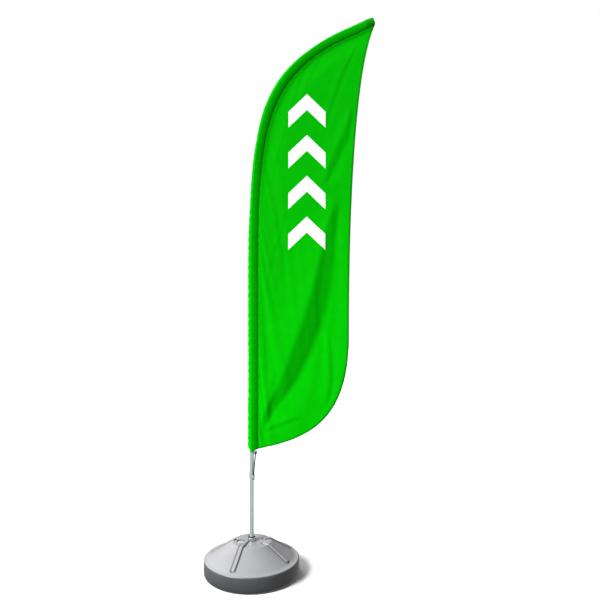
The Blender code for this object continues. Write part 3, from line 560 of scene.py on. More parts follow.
@dataclass(frozen=True)
class Rubber:
    """Moulded rubber: matt and nearly black, with a bloom of grey dust."""

    name: str = "moulded_rubber"
    colour: str = "26272A"
    dust: str = "44464A"
    specks: float = 90.0       # specks of dust to the metre

    def make(self) -> bpy.types.Material:
        """Build the material."""
        material, tree, shader = new_material(self.name)
        place = add(tree, "TexCoord").outputs["Object"]
        cloud = add(tree, "TexNoise", {"Scale": self.specks, "Detail": 4.0}, {"Vector": place})
        tint = add(tree, "MapRange", {1: 0.4, 2: 0.75, 3: 0.0, 4: 0.6}, {0: cloud})
        bump = add(tree, "Bump", {"Strength": 0.2, "Distance": 0.0003}, {"Height": cloud})
        gloss = add(tree, "MapRange", {3: 0.68, 4: 0.84}, {0: cloud})
        colour = mixed(tree, tint, linear(self.colour), linear(self.dust))
        shader.inputs["IOR"].default_value = 1.52
        wire(tree, shader, colour, gloss, bump)
        return material


@dataclass(frozen=True)
class PoleLine:
    """The pole's centre line: upright, then bent over in one smooth curve to its tip."""

    bend_start: float = 1.466
    pull_low: float = 0.737
    pull_tip: float = 0.637
    tip: tuple[float, float] = (0.6154, 2.7385)
    tip_lean: float = 72.2
    samples: int = 800

    @cached_property
    def curve(self) -> tuple[np.ndarray, np.ndarray]:
        """The bend's points, and the pole length at each."""
        lean = math.radians(self.tip_lean)
        high = (self.tip[0] - self.pull_tip * math.sin(lean),
                self.tip[1] - self.pull_tip * math.cos(lean))
        points = cubic([(0.0, self.bend_start), (0.0, self.bend_start + self.pull_low), high,
                        self.tip], self.samples)
        steps = np.linalg.norm(np.diff(points, axis=0), axis=1)
        return points, self.bend_start + np.append(0.0, np.cumsum(steps))

    @property
    def end(self) -> float:
        """The pole line's whole length."""
        return float(self.curve[1][-1])

    def at(self, along: np.ndarray) -> tuple[np.ndarray, np.ndarray]:
        """Places on the line.

        Args:
            along: Lengths along the pole, from the floor up.

        Returns:
            The points in the XZ plane, and the unit normals towards the flag.
        """
        along = np.asarray(along, float)
        points, lengths = self.curve
        x = np.interp(along, lengths, points[:, 0])
        z = np.where(along < self.bend_start, along, np.interp(along, lengths, points[:, 1]))
        slope = np.gradient(points, lengths, axis=0)
        tx = np.where(along < self.bend_start, 0.0, np.interp(along, lengths, slope[:, 0]))
        tz = np.where(along < self.bend_start, 1.0, np.interp(along, lengths, slope[:, 1]))
        size = np.hypot(tx, tz)
        return np.stack([x, z], 1), np.stack([tz / size, -tx / size], 1)


@dataclass(frozen=True)
class Fold:
    """A soft fold in the flag: the cloth steps back across a line, and comes forward beside it.

    The path is in metres in the flag's plane, from its lower end up. The cloth steps back
    from the path's left to its right.
    """

    path: tuple
    half_widths: tuple
    steepness: float = 0.32
    reach: float = 3.0         # how many half-widths the fold takes up on each side
    fade: float = 0.16         # the share of the path over which each end dies away
    run_out: float = 3.0       # how many half-widths the fold runs on past each end
    shoulder: float = 0.34     # the share of the step over which its slope builds up
    samples: int = 70

    def depth(self, places: np.ndarray) -> np.ndarray:
        """How far the fold moves the cloth back.

        Args:
            places: Points in the flag's plane, one row each.

        Returns:
            Metres towards +Y for each point.
        """
        line = smooth_path(list(self.path), self.samples)
        shares = np.linspace(0.0, 1.0, self.samples)
        given = np.linspace(0.0, 1.0, len(self.half_widths))
        curve = np.linspace(0.0, 1.0, 61)
        gaps = np.linalg.norm(places[:, None, :] - line[None, :, :], axis=2)
        nearest = gaps.argmin(1)
        tangent = np.gradient(line, axis=0)
        tangent /= np.linalg.norm(tangent, axis=1)[:, None]
        off = places - line[nearest]
        way = tangent[nearest]
        side = off[:, 0] * way[:, 1] - off[:, 1] * way[:, 0]
        beyond = np.abs(off[:, 0] * way[:, 0] + off[:, 1] * way[:, 1])
        half = np.interp(shares[nearest], given, self.half_widths)
        ends = ease(shares[nearest] / self.fade) * ease((1.0 - shares[nearest]) / self.fade)
        ends *= 1.0 - ease(beyond / (self.run_out * half))
        slope = ease(curve / self.shoulder) * ease((1.0 - curve) / self.shoulder)
        share = np.clip((side + half) / (2.0 * half), 0.0, 1.0)
        step = np.interp(share, curve, np.cumsum(slope) / slope.sum())
        rest = ease((side + self.reach * half) / (2.0 * self.reach * half))
        return self.steepness * 2.0 * half * ends * (step - rest)


FOLDS = (
    Fold(((0.050, 0.672), (0.068, 0.742), (0.096, 0.812), (0.160, 0.915), (0.214, 1.020),
          (0.270, 1.154), (0.310, 1.267), (0.346, 1.401), (0.368, 1.535), (0.386, 1.648),
          (0.408, 1.762), (0.440, 1.881)),
         (0.014, 0.026, 0.042, 0.058, 0.066, 0.070, 0.070, 0.064, 0.053, 0.042, 0.030, 0.018),
         0.31, 3.6, 0.10),
    Fold(((0.348, 1.900), (0.392, 1.995), (0.427, 2.084), (0.466, 2.168), (0.490, 2.252),
          (0.500, 2.326)), (0.014, 0.024, 0.028, 0.024, 0.014), 0.24),
    Fold(((0.350, 2.150), (0.385, 2.287), (0.417, 2.381), (0.455, 2.481), (0.496, 2.563),
          (0.524, 2.628)), (0.010, 0.015, 0.010), 0.15),
    Fold(((0.050, 0.675), (0.062, 0.733), (0.090, 0.842), (0.115, 0.971), (0.123, 1.055)),
         (0.012, 0.022, 0.024, 0.016), 0.13, 3.0, 0.30),
    Fold(((0.064, 1.330), (0.075, 1.386), (0.105, 1.564), (0.155, 1.713), (0.180, 1.846)),
         (0.008, 0.011, 0.008), 0.13),
    Fold(((0.3675, 0.807), (0.385, 0.8815), (0.396, 0.970), (0.391, 1.089), (0.377, 1.203)),
         (0.014, 0.018, 0.012), 0.22),
    Fold(((0.051, 0.6985), (0.115, 0.723), (0.189, 0.753), (0.249, 0.768)),
         (0.010, 0.015, 0.012), 0.16),
    Fold(((0.150, 2.180), (0.189, 2.267), (0.214, 2.356), (0.234, 2.425), (0.274, 2.524)),
         (0.008, 0.011, 0.008), 0.12),
    Fold(((0.215, 2.230), (0.262, 2.380), (0.310, 2.500), (0.360, 2.580)),
         (0.007, 0.010, 0.007), 0.09),
    Fold(((0.095, 1.900), (0.120, 2.020), (0.150, 2.140), (0.185, 2.240)),
         (0.007, 0.010, 0.007), 0.10),
)


@dataclass
class Sleeve:
    """The pole sleeve and the tip pocket sewn over its upper end."""

    line: PoleLine
    bottom: float = 0.605
    seam: float = 0.0310       # from the pole's centre line to the seam
    flange: float = 0.0018     # the seam allowance beyond it
    draw_in: float = 0.0115    # how much closer the seam comes at the tip
    draw_length: float = 0.10
    # Pole lengths, and the sleeve's outer radius at each.
    girth: tuple = ((0.846, 0.0128), (0.890, 0.0112), (1.436, 0.0112), (1.480, 0.0113),
                    (2.200, 0.0113))
    tip_girth: float = 0.0070
    # Pole lengths, and how far the cloth stands off the pole at each.
    looseness: tuple = ((1.50, 0.0056), (1.68, 0.0040), (1.82, 0.0004), (2.15, 0.0),
                        (2.30, 0.0045), (2.46, 0.0050), (2.66, 0.0))
    tip_looseness: tuple = ((0.12, 0.0020), (0.03, 0.0085))    # at lengths short of the end
    fullness: float = 0.0017   # how far the cloth between pole and seam bellies out
    puckers: float = 0.0024
    pucker_spacing: float = 0.034
    pucker_fade: tuple = ((1.75, 1.0), (2.15, 0.45))           # pole lengths and shares
    # Places across the sleeve, and how much higher its lower end is cut at each.
    cut: tuple = ((-0.0136, 0.016), (-0.0005, -0.007), (0.0230, 0.007), (0.0330, 0.009))
    cut_length: float = 0.10   # the lower end's cut dies away over this length
    half_width: float = 0.055
    short: float = 0.0013      # how far the sleeve ends inside the pocket's closed end
    cloth: float = 0.0005
    pocket_length: float = 0.045
    pocket_grow: float = 0.0013
    pocket_wall: float = 0.0009
    pocket_nose: float = 0.004     # the length of its rounded end
    pocket_close: float = 0.0050
    pocket_middle: float = 0.011   # its own centre, off the pole's centre line
    around: int = 40
    step: float = 0.0060

    @property
    def end(self) -> float:
        """The pole length at the sleeve's upper end."""
        return self.line.end - 0.010

    def radius(self, along: np.ndarray) -> np.ndarray:
        """The sleeve's outer radius round the pole at some lengths."""
        marks, radii = zip(*self.girth, (self.end, self.tip_girth))
        return np.interp(along, marks, radii)

    def slack(self, along: np.ndarray) -> np.ndarray:
        """How far the loose cloth stands off the pole on its back, away from the flag."""
        tip = [(self.end - short, gap) for short, gap in self.tip_looseness]
        marks, gaps = zip(*self.looseness, *tip)
        return np.interp(along, marks, gaps)

    def seam_at(self, along: np.ndarray) -> np.ndarray:
        """How far the seam lies from the pole's centre line; it draws in at the tip."""
        share = (along - self.end + self.draw_length) / self.draw_length
        return self.seam - self.draw_in * ease(share)

    def sections(self, along: np.ndarray, grow: np.ndarray, puckers: float) -> np.ndarray:
        """Closed sections round the pole that narrow to the seam.

        Args:
            along: The lengths of the sections.
            grow: How much larger each is than the sleeve.
            puckers: The depth of the gathers in the cloth.

        Returns:
            One array of points for each section.
        """
        points, inward = self.line.at(along)
        radius = self.radius(along) + grow
        reach = self.seam_at(along) + self.flange + grow
        leave = np.arccos(radius / reach)      # where the cloth leaves the round of the pole
        gathers = puckers * np.interp(along, *zip(*self.pucker_fade))
        rings = []
        for turn in np.linspace(0.0, 2.0 * math.pi, self.around, endpoint=False):
            cos, sin = math.cos(turn), math.sin(turn)
            share = np.arccos(cos) / leave
            straight = share < 1.0
            puff = self.fullness * np.sin(math.pi * np.minimum(share, 1.0))
            n = np.where(straight, reach + (radius * np.cos(leave) - reach) * share,
                         radius * cos)
            b = np.where(straight, radius * np.sin(leave) * share + puff, radius * abs(sin))
            b = b * np.sign(sin)
            behind = max(0.0, -cos)            # 1 at the back of the pole
            n = n - self.slack(along) * behind**0.7
            wave = ripple(along / self.pucker_spacing + 0.35 * sin, 5)
            wave = wave * (0.35 + 0.65 * behind)
            lift = gathers * (0.5 + 0.5 * wave)
            n = n + lift * min(0.0, cos)
            b = b + lift * sin * (1.0 - max(0.0, cos)**2)
            flat = points + inward * n[:, None]
            rings.append(np.stack([flat[:, 0], b, flat[:, 1]], 1))
        return np.stack(rings, 1)

    def build(self, cloth: bpy.types.Material) -> bpy.types.Object:
        """Make the sleeve.

        Args:
            cloth: The sleeve's material.

        Returns:
            The sleeve's object.
        """
        top = self.end - self.short
        along = np.linspace(self.bottom, top, int((top - self.bottom) / self.step))
        rings = self.sections(along, np.zeros(len(along)), self.puckers)
        rise = ease((self.bottom + self.cut_length - along) / self.cut_length)[:, None]
        marks, drops = zip(*self.cut)
        rings[:, :, 2] += rise**2 * np.interp(rings[0, :, 0], marks, drops)[None, :]
        count, size = rings.shape[:2]
        piece = new_piece("flag_sleeve", rings.reshape(-1, 3), grid_faces(count, size, True))
        lengths = np.repeat(along, size)
        turns = np.tile(np.linspace(0.0, 1.0, size, endpoint=False), count)
        around = np.abs(turns - 0.5) * 2.0 * self.half_width
        lay_out(piece, UV_FLAT, np.stack([around, lengths], 1))
        lay_out(piece, UV_EDGE, np.stack([self.half_width - around, lengths], 1))
        thicken(piece, self.cloth, -1.0)
        dress(piece, cloth)
        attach(piece, "flag_upper")
        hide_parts("pole_sleeve")
        return piece

    def build_pocket(self, webbing: bpy.types.Material) -> bpy.types.Object:
        """Make the webbing pocket on the tip.

        Args:
            webbing: The pocket's material.

        Returns:
            The pocket's object.
        """
        nose = self.pocket_nose
        along = np.append(np.linspace(self.end - self.pocket_length, self.end - nose, 16),
                          self.end - nose + nose * np.sin(np.linspace(0.2, 1.5, 6)))
        close = 1.0 - ease((along - (self.end - self.pocket_close)) / 0.006)
        rings = self.sections(along, self.pocket_grow * np.ones(len(along)), 0.0004)
        points, inward = self.line.at(along)
        middle = points + inward * self.pocket_middle
        centre = np.stack([middle[:, 0], np.zeros(len(along)), middle[:, 1]], 1)[:, None, :]
        rings = centre + (rings - centre) * (0.30 + 0.70 * np.sqrt(close))[:, None, None]
        count, size = rings.shape[:2]
        faces = grid_faces(count, size, True)
        faces.append(tuple(range((count - 1) * size, count * size)))
        piece = new_piece("flag_tip_pocket", rings.reshape(-1, 3), faces)
        turns = np.tile(np.linspace(0.0, 2.0 * self.half_width, size, endpoint=False), count)
        lay_out(piece, UV_FLAT, np.stack([turns, np.repeat(along, size)], 1))
        thicken(piece, self.pocket_wall, -1.0)
        dress(piece, webbing)
        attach(piece, "flag_upper")
        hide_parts("tip_pocket")
        return piece


# How the flag's knit hangs: light, a little stretchy, and quick to come to rest.
KNIT_HANG = {"quality": 5, "mass": 0.12, "tension_stiffness": 12.0,
             "compression_stiffness": 12.0, "shear_stiffness": 4.0, "bending_stiffness": 0.4,
             "air_damping": 3.0}


@dataclass
class FlagPanel:
    """The flag's cloth: a leaf sewn to the sleeve along one edge and hemmed round the other."""

    line: PoleLine
    sleeve: Sleeve
    tuck: float = 0.0020       # how far the sewn edge lies inside the sleeve's seam
    tip_drop: float = 0.002    # the tip's place, below the sleeve's end
    tip_out: float = 0.0015    # and out beyond the seam
    corner: tuple[float, float] = (0.0313, 0.6140)
    tip_pull: tuple[float, float] = (0.4890, 2.4511)
    widest: tuple[float, float] = (0.4830, 1.1705)
    upper_pull: float = 0.351
    lower_pull: float = 0.437
    foot_pull: tuple[float, float] = (0.2634, 0.6640)
    rows: int = 300
    columns: int = 64
    thickness: float = 0.0005
    frames: int = 16
    groove_depth: float = 0.0056
    groove_width: float = 0.026
    groove_back: float = 0.080     # where the cloth comes forward again
    groove_from: float = 0.48      # the share of the height where the groove sets in
    gather_depth: float = 0.0011
    gather_spacing: float = 0.038
    gather_reach: float = 0.022
    sewn_length: float = 2.45
    gravity: float = 0.35
    most_move: float = 0.010
    settled: float = 0.30      # the share of the hang that a flag in still air shows

    def even(self, points: np.ndarray) -> np.ndarray:
        """Space a curve's points evenly, one for each row of the grid."""
        lengths = np.append(0.0, np.cumsum(np.linalg.norm(np.diff(points, axis=0), axis=1)))
        wanted = np.linspace(0.002, 0.998, self.rows) * lengths[-1]
        return np.stack([np.interp(wanted, lengths, points[:, k]) for k in (0, 1)], 1)

    @cached_property
    def edges(self) -> tuple[np.ndarray, np.ndarray]:
        """The sewn edge and the fly edge, both from the lower corner up."""
        along = np.linspace(self.corner[1], self.sleeve.end, 900)
        points, inward = self.line.at(along)
        sewn = points + inward * (self.sleeve.seam_at(along) - self.tuck)[:, None]
        point, normal = self.line.at(np.array([self.sleeve.end - self.tip_drop]))
        out = self.sleeve.seam - self.sleeve.draw_in + self.tip_out
        tip = tuple((point + normal * out)[0])
        upper = cubic([tip, self.tip_pull,
                       (self.widest[0], self.widest[1] + self.upper_pull), self.widest], 300)
        lower = cubic([self.widest, (self.widest[0], self.widest[1] - self.lower_pull),
                       self.foot_pull, self.corner], 300)
        fly = np.vstack([upper, lower[1:]])[::-1]
        return self.even(sewn), self.even(fly)

    def flat_places(self) -> np.ndarray:
        """The grid's points on the flat cloth, row by row."""
        sewn, fly = self.edges
        share = np.linspace(0.0, 1.0, self.columns)[None, :, None]
        return sewn[:, None, :] * (1.0 - share) + fly[:, None, :] * share

    def depths(self, flat: np.ndarray) -> np.ndarray:
        """How far each point of the cloth lies behind the pole's plane.

        Args:
            flat: The grid's points on the flat cloth.

        Returns:
            Metres towards +Y.
        """
        places = flat.reshape(-1, 2)
        total = np.zeros(len(places))
        for fold in FOLDS:
            total += fold.depth(places)
        from_seam = np.linalg.norm(flat - self.edges[0][:, None, :], axis=2).ravel()
        up = np.repeat(np.linspace(0.0, 1.0, self.rows), self.columns)
        total *= ease((from_seam + 0.006) / 0.030)
        groove = ease(from_seam / self.groove_width) * (
            1.0 - ease((from_seam - self.groove_width) / self.groove_back))
        total += self.groove_depth * groove * ease((up - self.groove_from) / 0.16)
        along = np.repeat(np.linspace(0.0, self.sewn_length, self.rows), self.columns)
        gathers = ripple(along / self.gather_spacing, 11) * np.exp(
            -from_seam / self.gather_reach)
        total += self.gather_depth * gathers * ease(from_seam / 0.012)
        return total

    def settle(self, piece: bpy.types.Object) -> None:
        """Let the cloth hang for a moment between its sewn edge and its corners.

        Args:
            piece: The flag, whose mesh is changed.
        """
        rest = np.zeros(len(piece.data.vertices) * 3)
        piece.data.vertices.foreach_get("co", rest)
        held = piece.vertex_groups.new(name="held")
        for row in range(self.rows):
            for column in (0, 1):
                held.add([row * self.columns + column], 1.0, "REPLACE")
        for row in (0, 1, 2, self.rows - 2, self.rows - 1):
            held.add(list(range(row * self.columns, (row + 1) * self.columns)), 1.0, "REPLACE")
        cloth = piece.modifiers.new("hang", "CLOTH")
        cloth.settings.vertex_group_mass = "held"
        for name, value in KNIT_HANG.items():
            setattr(cloth.settings, name, value)
        cloth.settings.effector_weights.gravity = self.gravity
        cloth.point_cache.frame_start = 1
        cloth.point_cache.frame_end = self.frames
        for moment in range(1, self.frames + 1):
            bpy.context.scene.frame_set(moment)
        shown = piece.evaluated_get(bpy.context.evaluated_depsgraph_get())
        hung = np.zeros(len(rest))
        shown.data.vertices.foreach_get("co", hung)
        piece.modifiers.remove(cloth)
        bpy.context.scene.frame_set(1)
        move = (hung - rest).reshape(-1, 3)
        size = np.linalg.norm(move, axis=1)[:, None]
        move *= self.settled * np.minimum(1.0, self.most_move / np.maximum(size, 1e-9))
        piece.data.vertices.foreach_set("co", rest + move.ravel())
        piece.data.update()
        LOG.info("flag settled: the cloth moved %.1f mm at most", 1000.0 * float(size.max()))

    def build(self, cloth: bpy.types.Material) -> bpy.types.Object:
        """Make the flag.

        Args:
            cloth: The flag's material.

        Returns:
            The flag's object.
        """
        flat = self.flat_places()
        depth = self.depths(flat)
        places = flat.reshape(-1, 2)
        points = np.stack([places[:, 0], depth, places[:, 1]], 1)
        piece = new_piece("flag_cloth", points, grid_faces(self.rows, self.columns))
        fly = self.edges[1]
        from_fly = np.linalg.norm(flat - fly[:, None, :], axis=2).ravel()
        steps = np.append(0.0, np.cumsum(np.linalg.norm(np.diff(fly, axis=0), axis=1)))
        lay_out(piece, UV_FLAT, places)
        lay_out(piece, UV_EDGE, np.stack([from_fly, np.repeat(steps, self.columns)], 1))
        self.settle(piece)
        thicken(piece, self.thickness, 0.0)
        dress(piece, cloth)
        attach(piece, "flag_upper")
        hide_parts("flag_panel")
        return piece

    def area(self) -> float:
        """The flat cloth's area in square metres."""
        sewn, fly = self.edges
        outline = np.vstack([sewn, fly[::-1]])
        x, z = outline[:, 0], outline[:, 1]
        return float(abs(np.dot(x, np.roll(z, 1)) - np.dot(z, np.roll(x, 1))) / 2.0)


@dataclass(frozen=True)
class Rib:
    """A rib moulded on the tank: its direction in degrees from +X, and its inner end."""

    direction: float
    inner: float
    aside: float = 0.0         # how far left of the pole it starts from, looking outwards


@dataclass
class WaterTank:
    """The round water tank: a domed top with moulded ribs, a filler recess and a well."""

    radius: float = 0.2352
    side: float = 0.083
    foot_round: float = 0.021
    edge_round: float = 0.009
    shoulder: float = 0.021
    shoulder_rise: float = 0.002
    shoulder_round: float = 0.045
    hub: float = 0.096
    hub_height: float = 0.160
    hub_round: float = 0.017
    well: float = 0.0203
    well_floor: float = 0.012
    lip: float = 0.0012
    ribs: tuple = (Rib(-105.2, 0.008, -0.0207), Rib(-26.0, 0.058), Rib(23.0, 0.058),
                   Rib(97.0, 0.058), Rib(168.0, 0.080))
    rib_width: float = 0.024
    rib_flank: float = 0.0052
    rib_height: float = 0.0050
    groove_width: float = 0.0036
    groove_depth: float = 0.0024
    rib_outer: float = 0.206
    filler_reach: float = 0.054
    filler_direction: float = 186.0
    recess: float = 0.0190
    recess_depth: float = 0.0095
    recess_lip: float = 0.0022
    neck: float = 0.0120
    neck_depth: float = 0.034
    recess_room: float = 0.0045    # how near the grid is drawn to the recess's edge
    neck_room: float = 0.0030      # and to the neck's
    gather: float = 2.2        # how closely the grid is drawn in to the recess's edges
    wall_width: float = 0.0012     # the band of painted shade on the recess's wall
    crevice_shade: float = 0.85        # how dark the painted shade beside the ribs is
    steps: tuple[float, float, float] = (0.0008, 0.0022, 0.012)    # filler, top and side
    filler_band: tuple[float, float] = (0.030, 0.090)      # radii that the filler takes up
    # The grid's directions, as degrees each side and apart: round a rib, and beside it.
    rib_fans: tuple = ((4.2, 0.28), (13.0, 0.8))
    filler_fan: tuple[float, float] = (28.0, 0.8)
    slanted_fan: tuple[float, float, float] = (-80.0, 13.01, 0.55)
    least_turn: float = 0.13   # directions closer than this are one

    def corners(self) -> list:
        """The outline's corners from the well out and round to the underside."""
        return [
            (self.well, self.hub_height, self.lip),
            (self.hub, self.hub_height, self.hub_round),
            (self.radius - self.shoulder, self.side + self.shoulder_rise, self.shoulder_round),
            (self.radius, self.side, self.edge_round),
            (self.radius, 0.0, self.foot_round),
        ]

    def outline(self) -> np.ndarray:
        """The tank's outline with its corners rounded, from the well's floor to the underside."""
        corners = [(0.0, self.well_floor, 0.0), (self.well, self.well_floor, 0.001),
                   *self.corners(), (0.0, 0.0, 0.0)]
        points = [np.array(corners[0][:2])]
        for before, here, after in zip(corners, corners[1:], corners[2:]):
            a, b, c = (np.array(p[:2]) for p in (before, here, after))
            into, out = (a - b) / np.linalg.norm(a - b), (c - b) / np.linalg.norm(c - b)
            turn = math.acos(float(np.clip(into @ out, -1.0, 1.0)))
            back = here[2] / math.tan(turn / 2.0)
            start, stop = b + into * back, b + out * back
            middle = b + (into + out) / np.linalg.norm(into + out) * (
                here[2] / math.sin(turn / 2.0))
            for share in np.linspace(0.0, 1.0, 9):
                chord = start + (stop - start) * share - middle
                points.append(middle + chord / np.linalg.norm(chord) * here[2])
        points.append(np.array(corners[-1][:2]))
        return np.array(points)

    def rows(self) -> np.ndarray:
        """The outline's points with its straight runs cut into short steps."""
        points = self.outline()
        rows = [points[0]]
        for a, b in zip(points, points[1:]):
            length = float(np.linalg.norm(b - a))
            top = min(a[1], b[1]) > self.side
            fine = top and self.filler_band[0] < (a[0] + b[0]) / 2 < self.filler_band[1]
            step = self.steps[0 if fine else 1 if top else 2]
            for share in np.linspace(0.0, 1.0, max(2, math.ceil(length / step) + 1))[1:]:
                rows.append(a + (b - a) * share)
        rows = np.array(rows)
        keep = np.append(True, np.linalg.norm(np.diff(rows, axis=0), axis=1) > 1e-5)
        return rows[keep]

    def directions(self) -> np.ndarray:
        """The grid's directions, closest together across the ribs and the filler."""
        spots = [np.arange(0.0, 360.0, 2.0)]
        fans = [(rib.direction, *fan) for rib in self.ribs for fan in self.rib_fans]
        for middle, half, step in (*fans, (self.filler_direction, *self.filler_fan)):
            spots.append(middle + np.arange(-half, half + 0.01, step))
        for rib in self.ribs:
            if rib.aside:
                spots.append(rib.direction + np.arange(*self.slanted_fan))
        every = np.unique(np.round(np.concatenate(spots) % 360.0, 3))
        return every[np.append(np.diff(every) > self.least_turn, True)]

    def rib_rise(self, x: np.ndarray, y: np.ndarray) -> tuple[np.ndarray, np.ndarray]:
        """How far the ribs raise the surface, with a shallow groove beside each.

        Args:
            x: Plan places.
            y: Plan places.

        Returns:
            Metres for each place, and how much painted crevice shade lies there.
        """
        total, crevice_shade = np.zeros_like(x), np.zeros_like(x)
        sunk = np.zeros_like(x)
        half = self.rib_width / 2.0
        for rib in self.ribs:
            turn = math.radians(rib.direction)
            along = x * math.cos(turn) + y * math.sin(turn)
            across = -x * math.sin(turn) + y * math.cos(turn) - rib.aside
            over = np.maximum(0.0, np.maximum(rib.inner + half - along,
                                              along - (self.rib_outer - half)))
            off = np.where(along > 0.0, np.hypot(across, over), 1.0)
            crown = 1.0 - 0.12 * (off / half)**2
            rise = self.rib_height * crown * ease((half - off) / self.rib_flank)
            total = np.maximum(total, rise)
            # painted shade in the groove beside each rib
            beside = np.exp(-((off - half) / self.groove_width)**2)
            sunk = np.maximum(sunk, self.groove_depth * beside)
            crevice_shade = np.maximum(crevice_shade, beside)
        return np.where(total > 0.6 * self.rib_height, total, total - sunk), crevice_shade

    def build(self, plastic: bpy.types.Material) -> bpy.types.Object:
        """Make the tank.

        Args:
            plastic: The tank's material.

        Returns:
            The tank's object.
        """
        rows, turns = self.rows(), np.radians(self.directions())
        reach = rows[1:-1, 0][:, None]
        height = np.repeat(rows[1:-1, 1][:, None], len(turns), 1)
        x, y = reach * np.cos(turns)[None, :], reach * np.sin(turns)[None, :]
        turn = math.radians(self.filler_direction)
        fx, fy = self.filler_reach * math.cos(turn), self.filler_reach * math.sin(turn)
        top = height > self.side + self.shoulder_rise
        outside = top & (reach > self.well + self.lip)
        for ring, room in ((self.recess, self.recess_room), (self.neck, self.neck_room)):
            off = np.hypot(x - fx, y - fy)
            gap = off - ring
            near = outside & (np.abs(gap) < room)
            moved = ring + np.sign(gap) * room * (np.abs(gap) / room)**self.gather
            grow = np.where(near, moved / np.maximum(off, 1e-9), 1.0)
            x, y = fx + (x - fx) * grow, fy + (y - fy) * grow
        rise, crevice_shade = self.rib_rise(x, y)
        height = height + np.where(outside, rise, 0.0)
        off = np.hypot(x - fx, y - fy)
        lip = self.recess_lip
        curl = np.clip((self.recess + lip - off) / lip, 0.0, 1.0)
        sunk = -lip * (1.0 - np.sqrt(1.0 - np.minimum(curl, 0.9999)**2))
        sunk = np.where(off < self.recess, -self.recess_depth, sunk)
        sunk = np.where(off < self.neck, -self.neck_depth, sunk)
        height = height + np.where(outside, sunk, 0.0)
        points = np.stack([x, y, height], 2).reshape(-1, 3)
        count, size = x.shape
        points = np.vstack([points, [[0.0, 0.0, rows[0, 1]], [0.0, 0.0, rows[-1, 1]]]])
        faces = grid_faces(count, size, True, True)
        last = (count - 1) * size
        for i in range(size):
            j = (i + 1) % size
            faces.append((i, j, count * size))
            faces.append((last + j, last + i, count * size + 1))
        piece = new_piece("base_water_tank", points, faces)
        # painted shade on the recess's wall and down the filler neck
        wall = outside & ((np.abs(off - self.recess) < self.wall_width) | (off < self.neck))
        crevice_shade = np.maximum(np.where(outside, self.crevice_shade * crevice_shade, 0.0), wall * 1.0).ravel()
        lay_out(piece, UV_EDGE, np.stack([np.append(crevice_shade, [0.0, 0.0])] * 2, 1))
        dress(piece, plastic)
        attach(piece, "base")
        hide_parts("base_tank")
        return piece


@dataclass
class PoleTube:
    """The pole's lowest section: a drawn tube with rolled ends."""

    radius: float = 0.0110
    wall: float = 0.0015
    bottom: float = 0.1535
    top: float = 0.840
    roll: float = 0.0006
    sides: int = 64

    def build(self, metal: bpy.types.Material) -> bpy.types.Object:
        """Make the tube.

        Args:
            metal: The tube's material.

        Returns:
            The tube's object.
        """
        inner = self.radius - self.wall
        section = []
        for z, way in ((self.bottom, 1.0), (self.top, -1.0)):
            middle = (inner + self.radius) / 2.0
            half = self.wall / 2.0
            arc = [(middle - half * math.cos(a), z + way * self.roll * (1.0 - math.sin(a)))
                   for a in np.linspace(0.0, math.pi, 7)]
            section += arc if way > 0.0 else arc[::-1]
        turns = np.linspace(0.0, 2.0 * math.pi, self.sides, endpoint=False)
        points = np.array([[(r * math.cos(t), r * math.sin(t), z) for t in turns]
                           for r, z in section])
        piece = new_piece("pole_tube_1", points.reshape(-1, 3),
                          tyre_faces(len(section), self.sides))
        dress(piece, metal)
        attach(piece, "pole_lower")
        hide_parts("pole_section_1")
        return piece


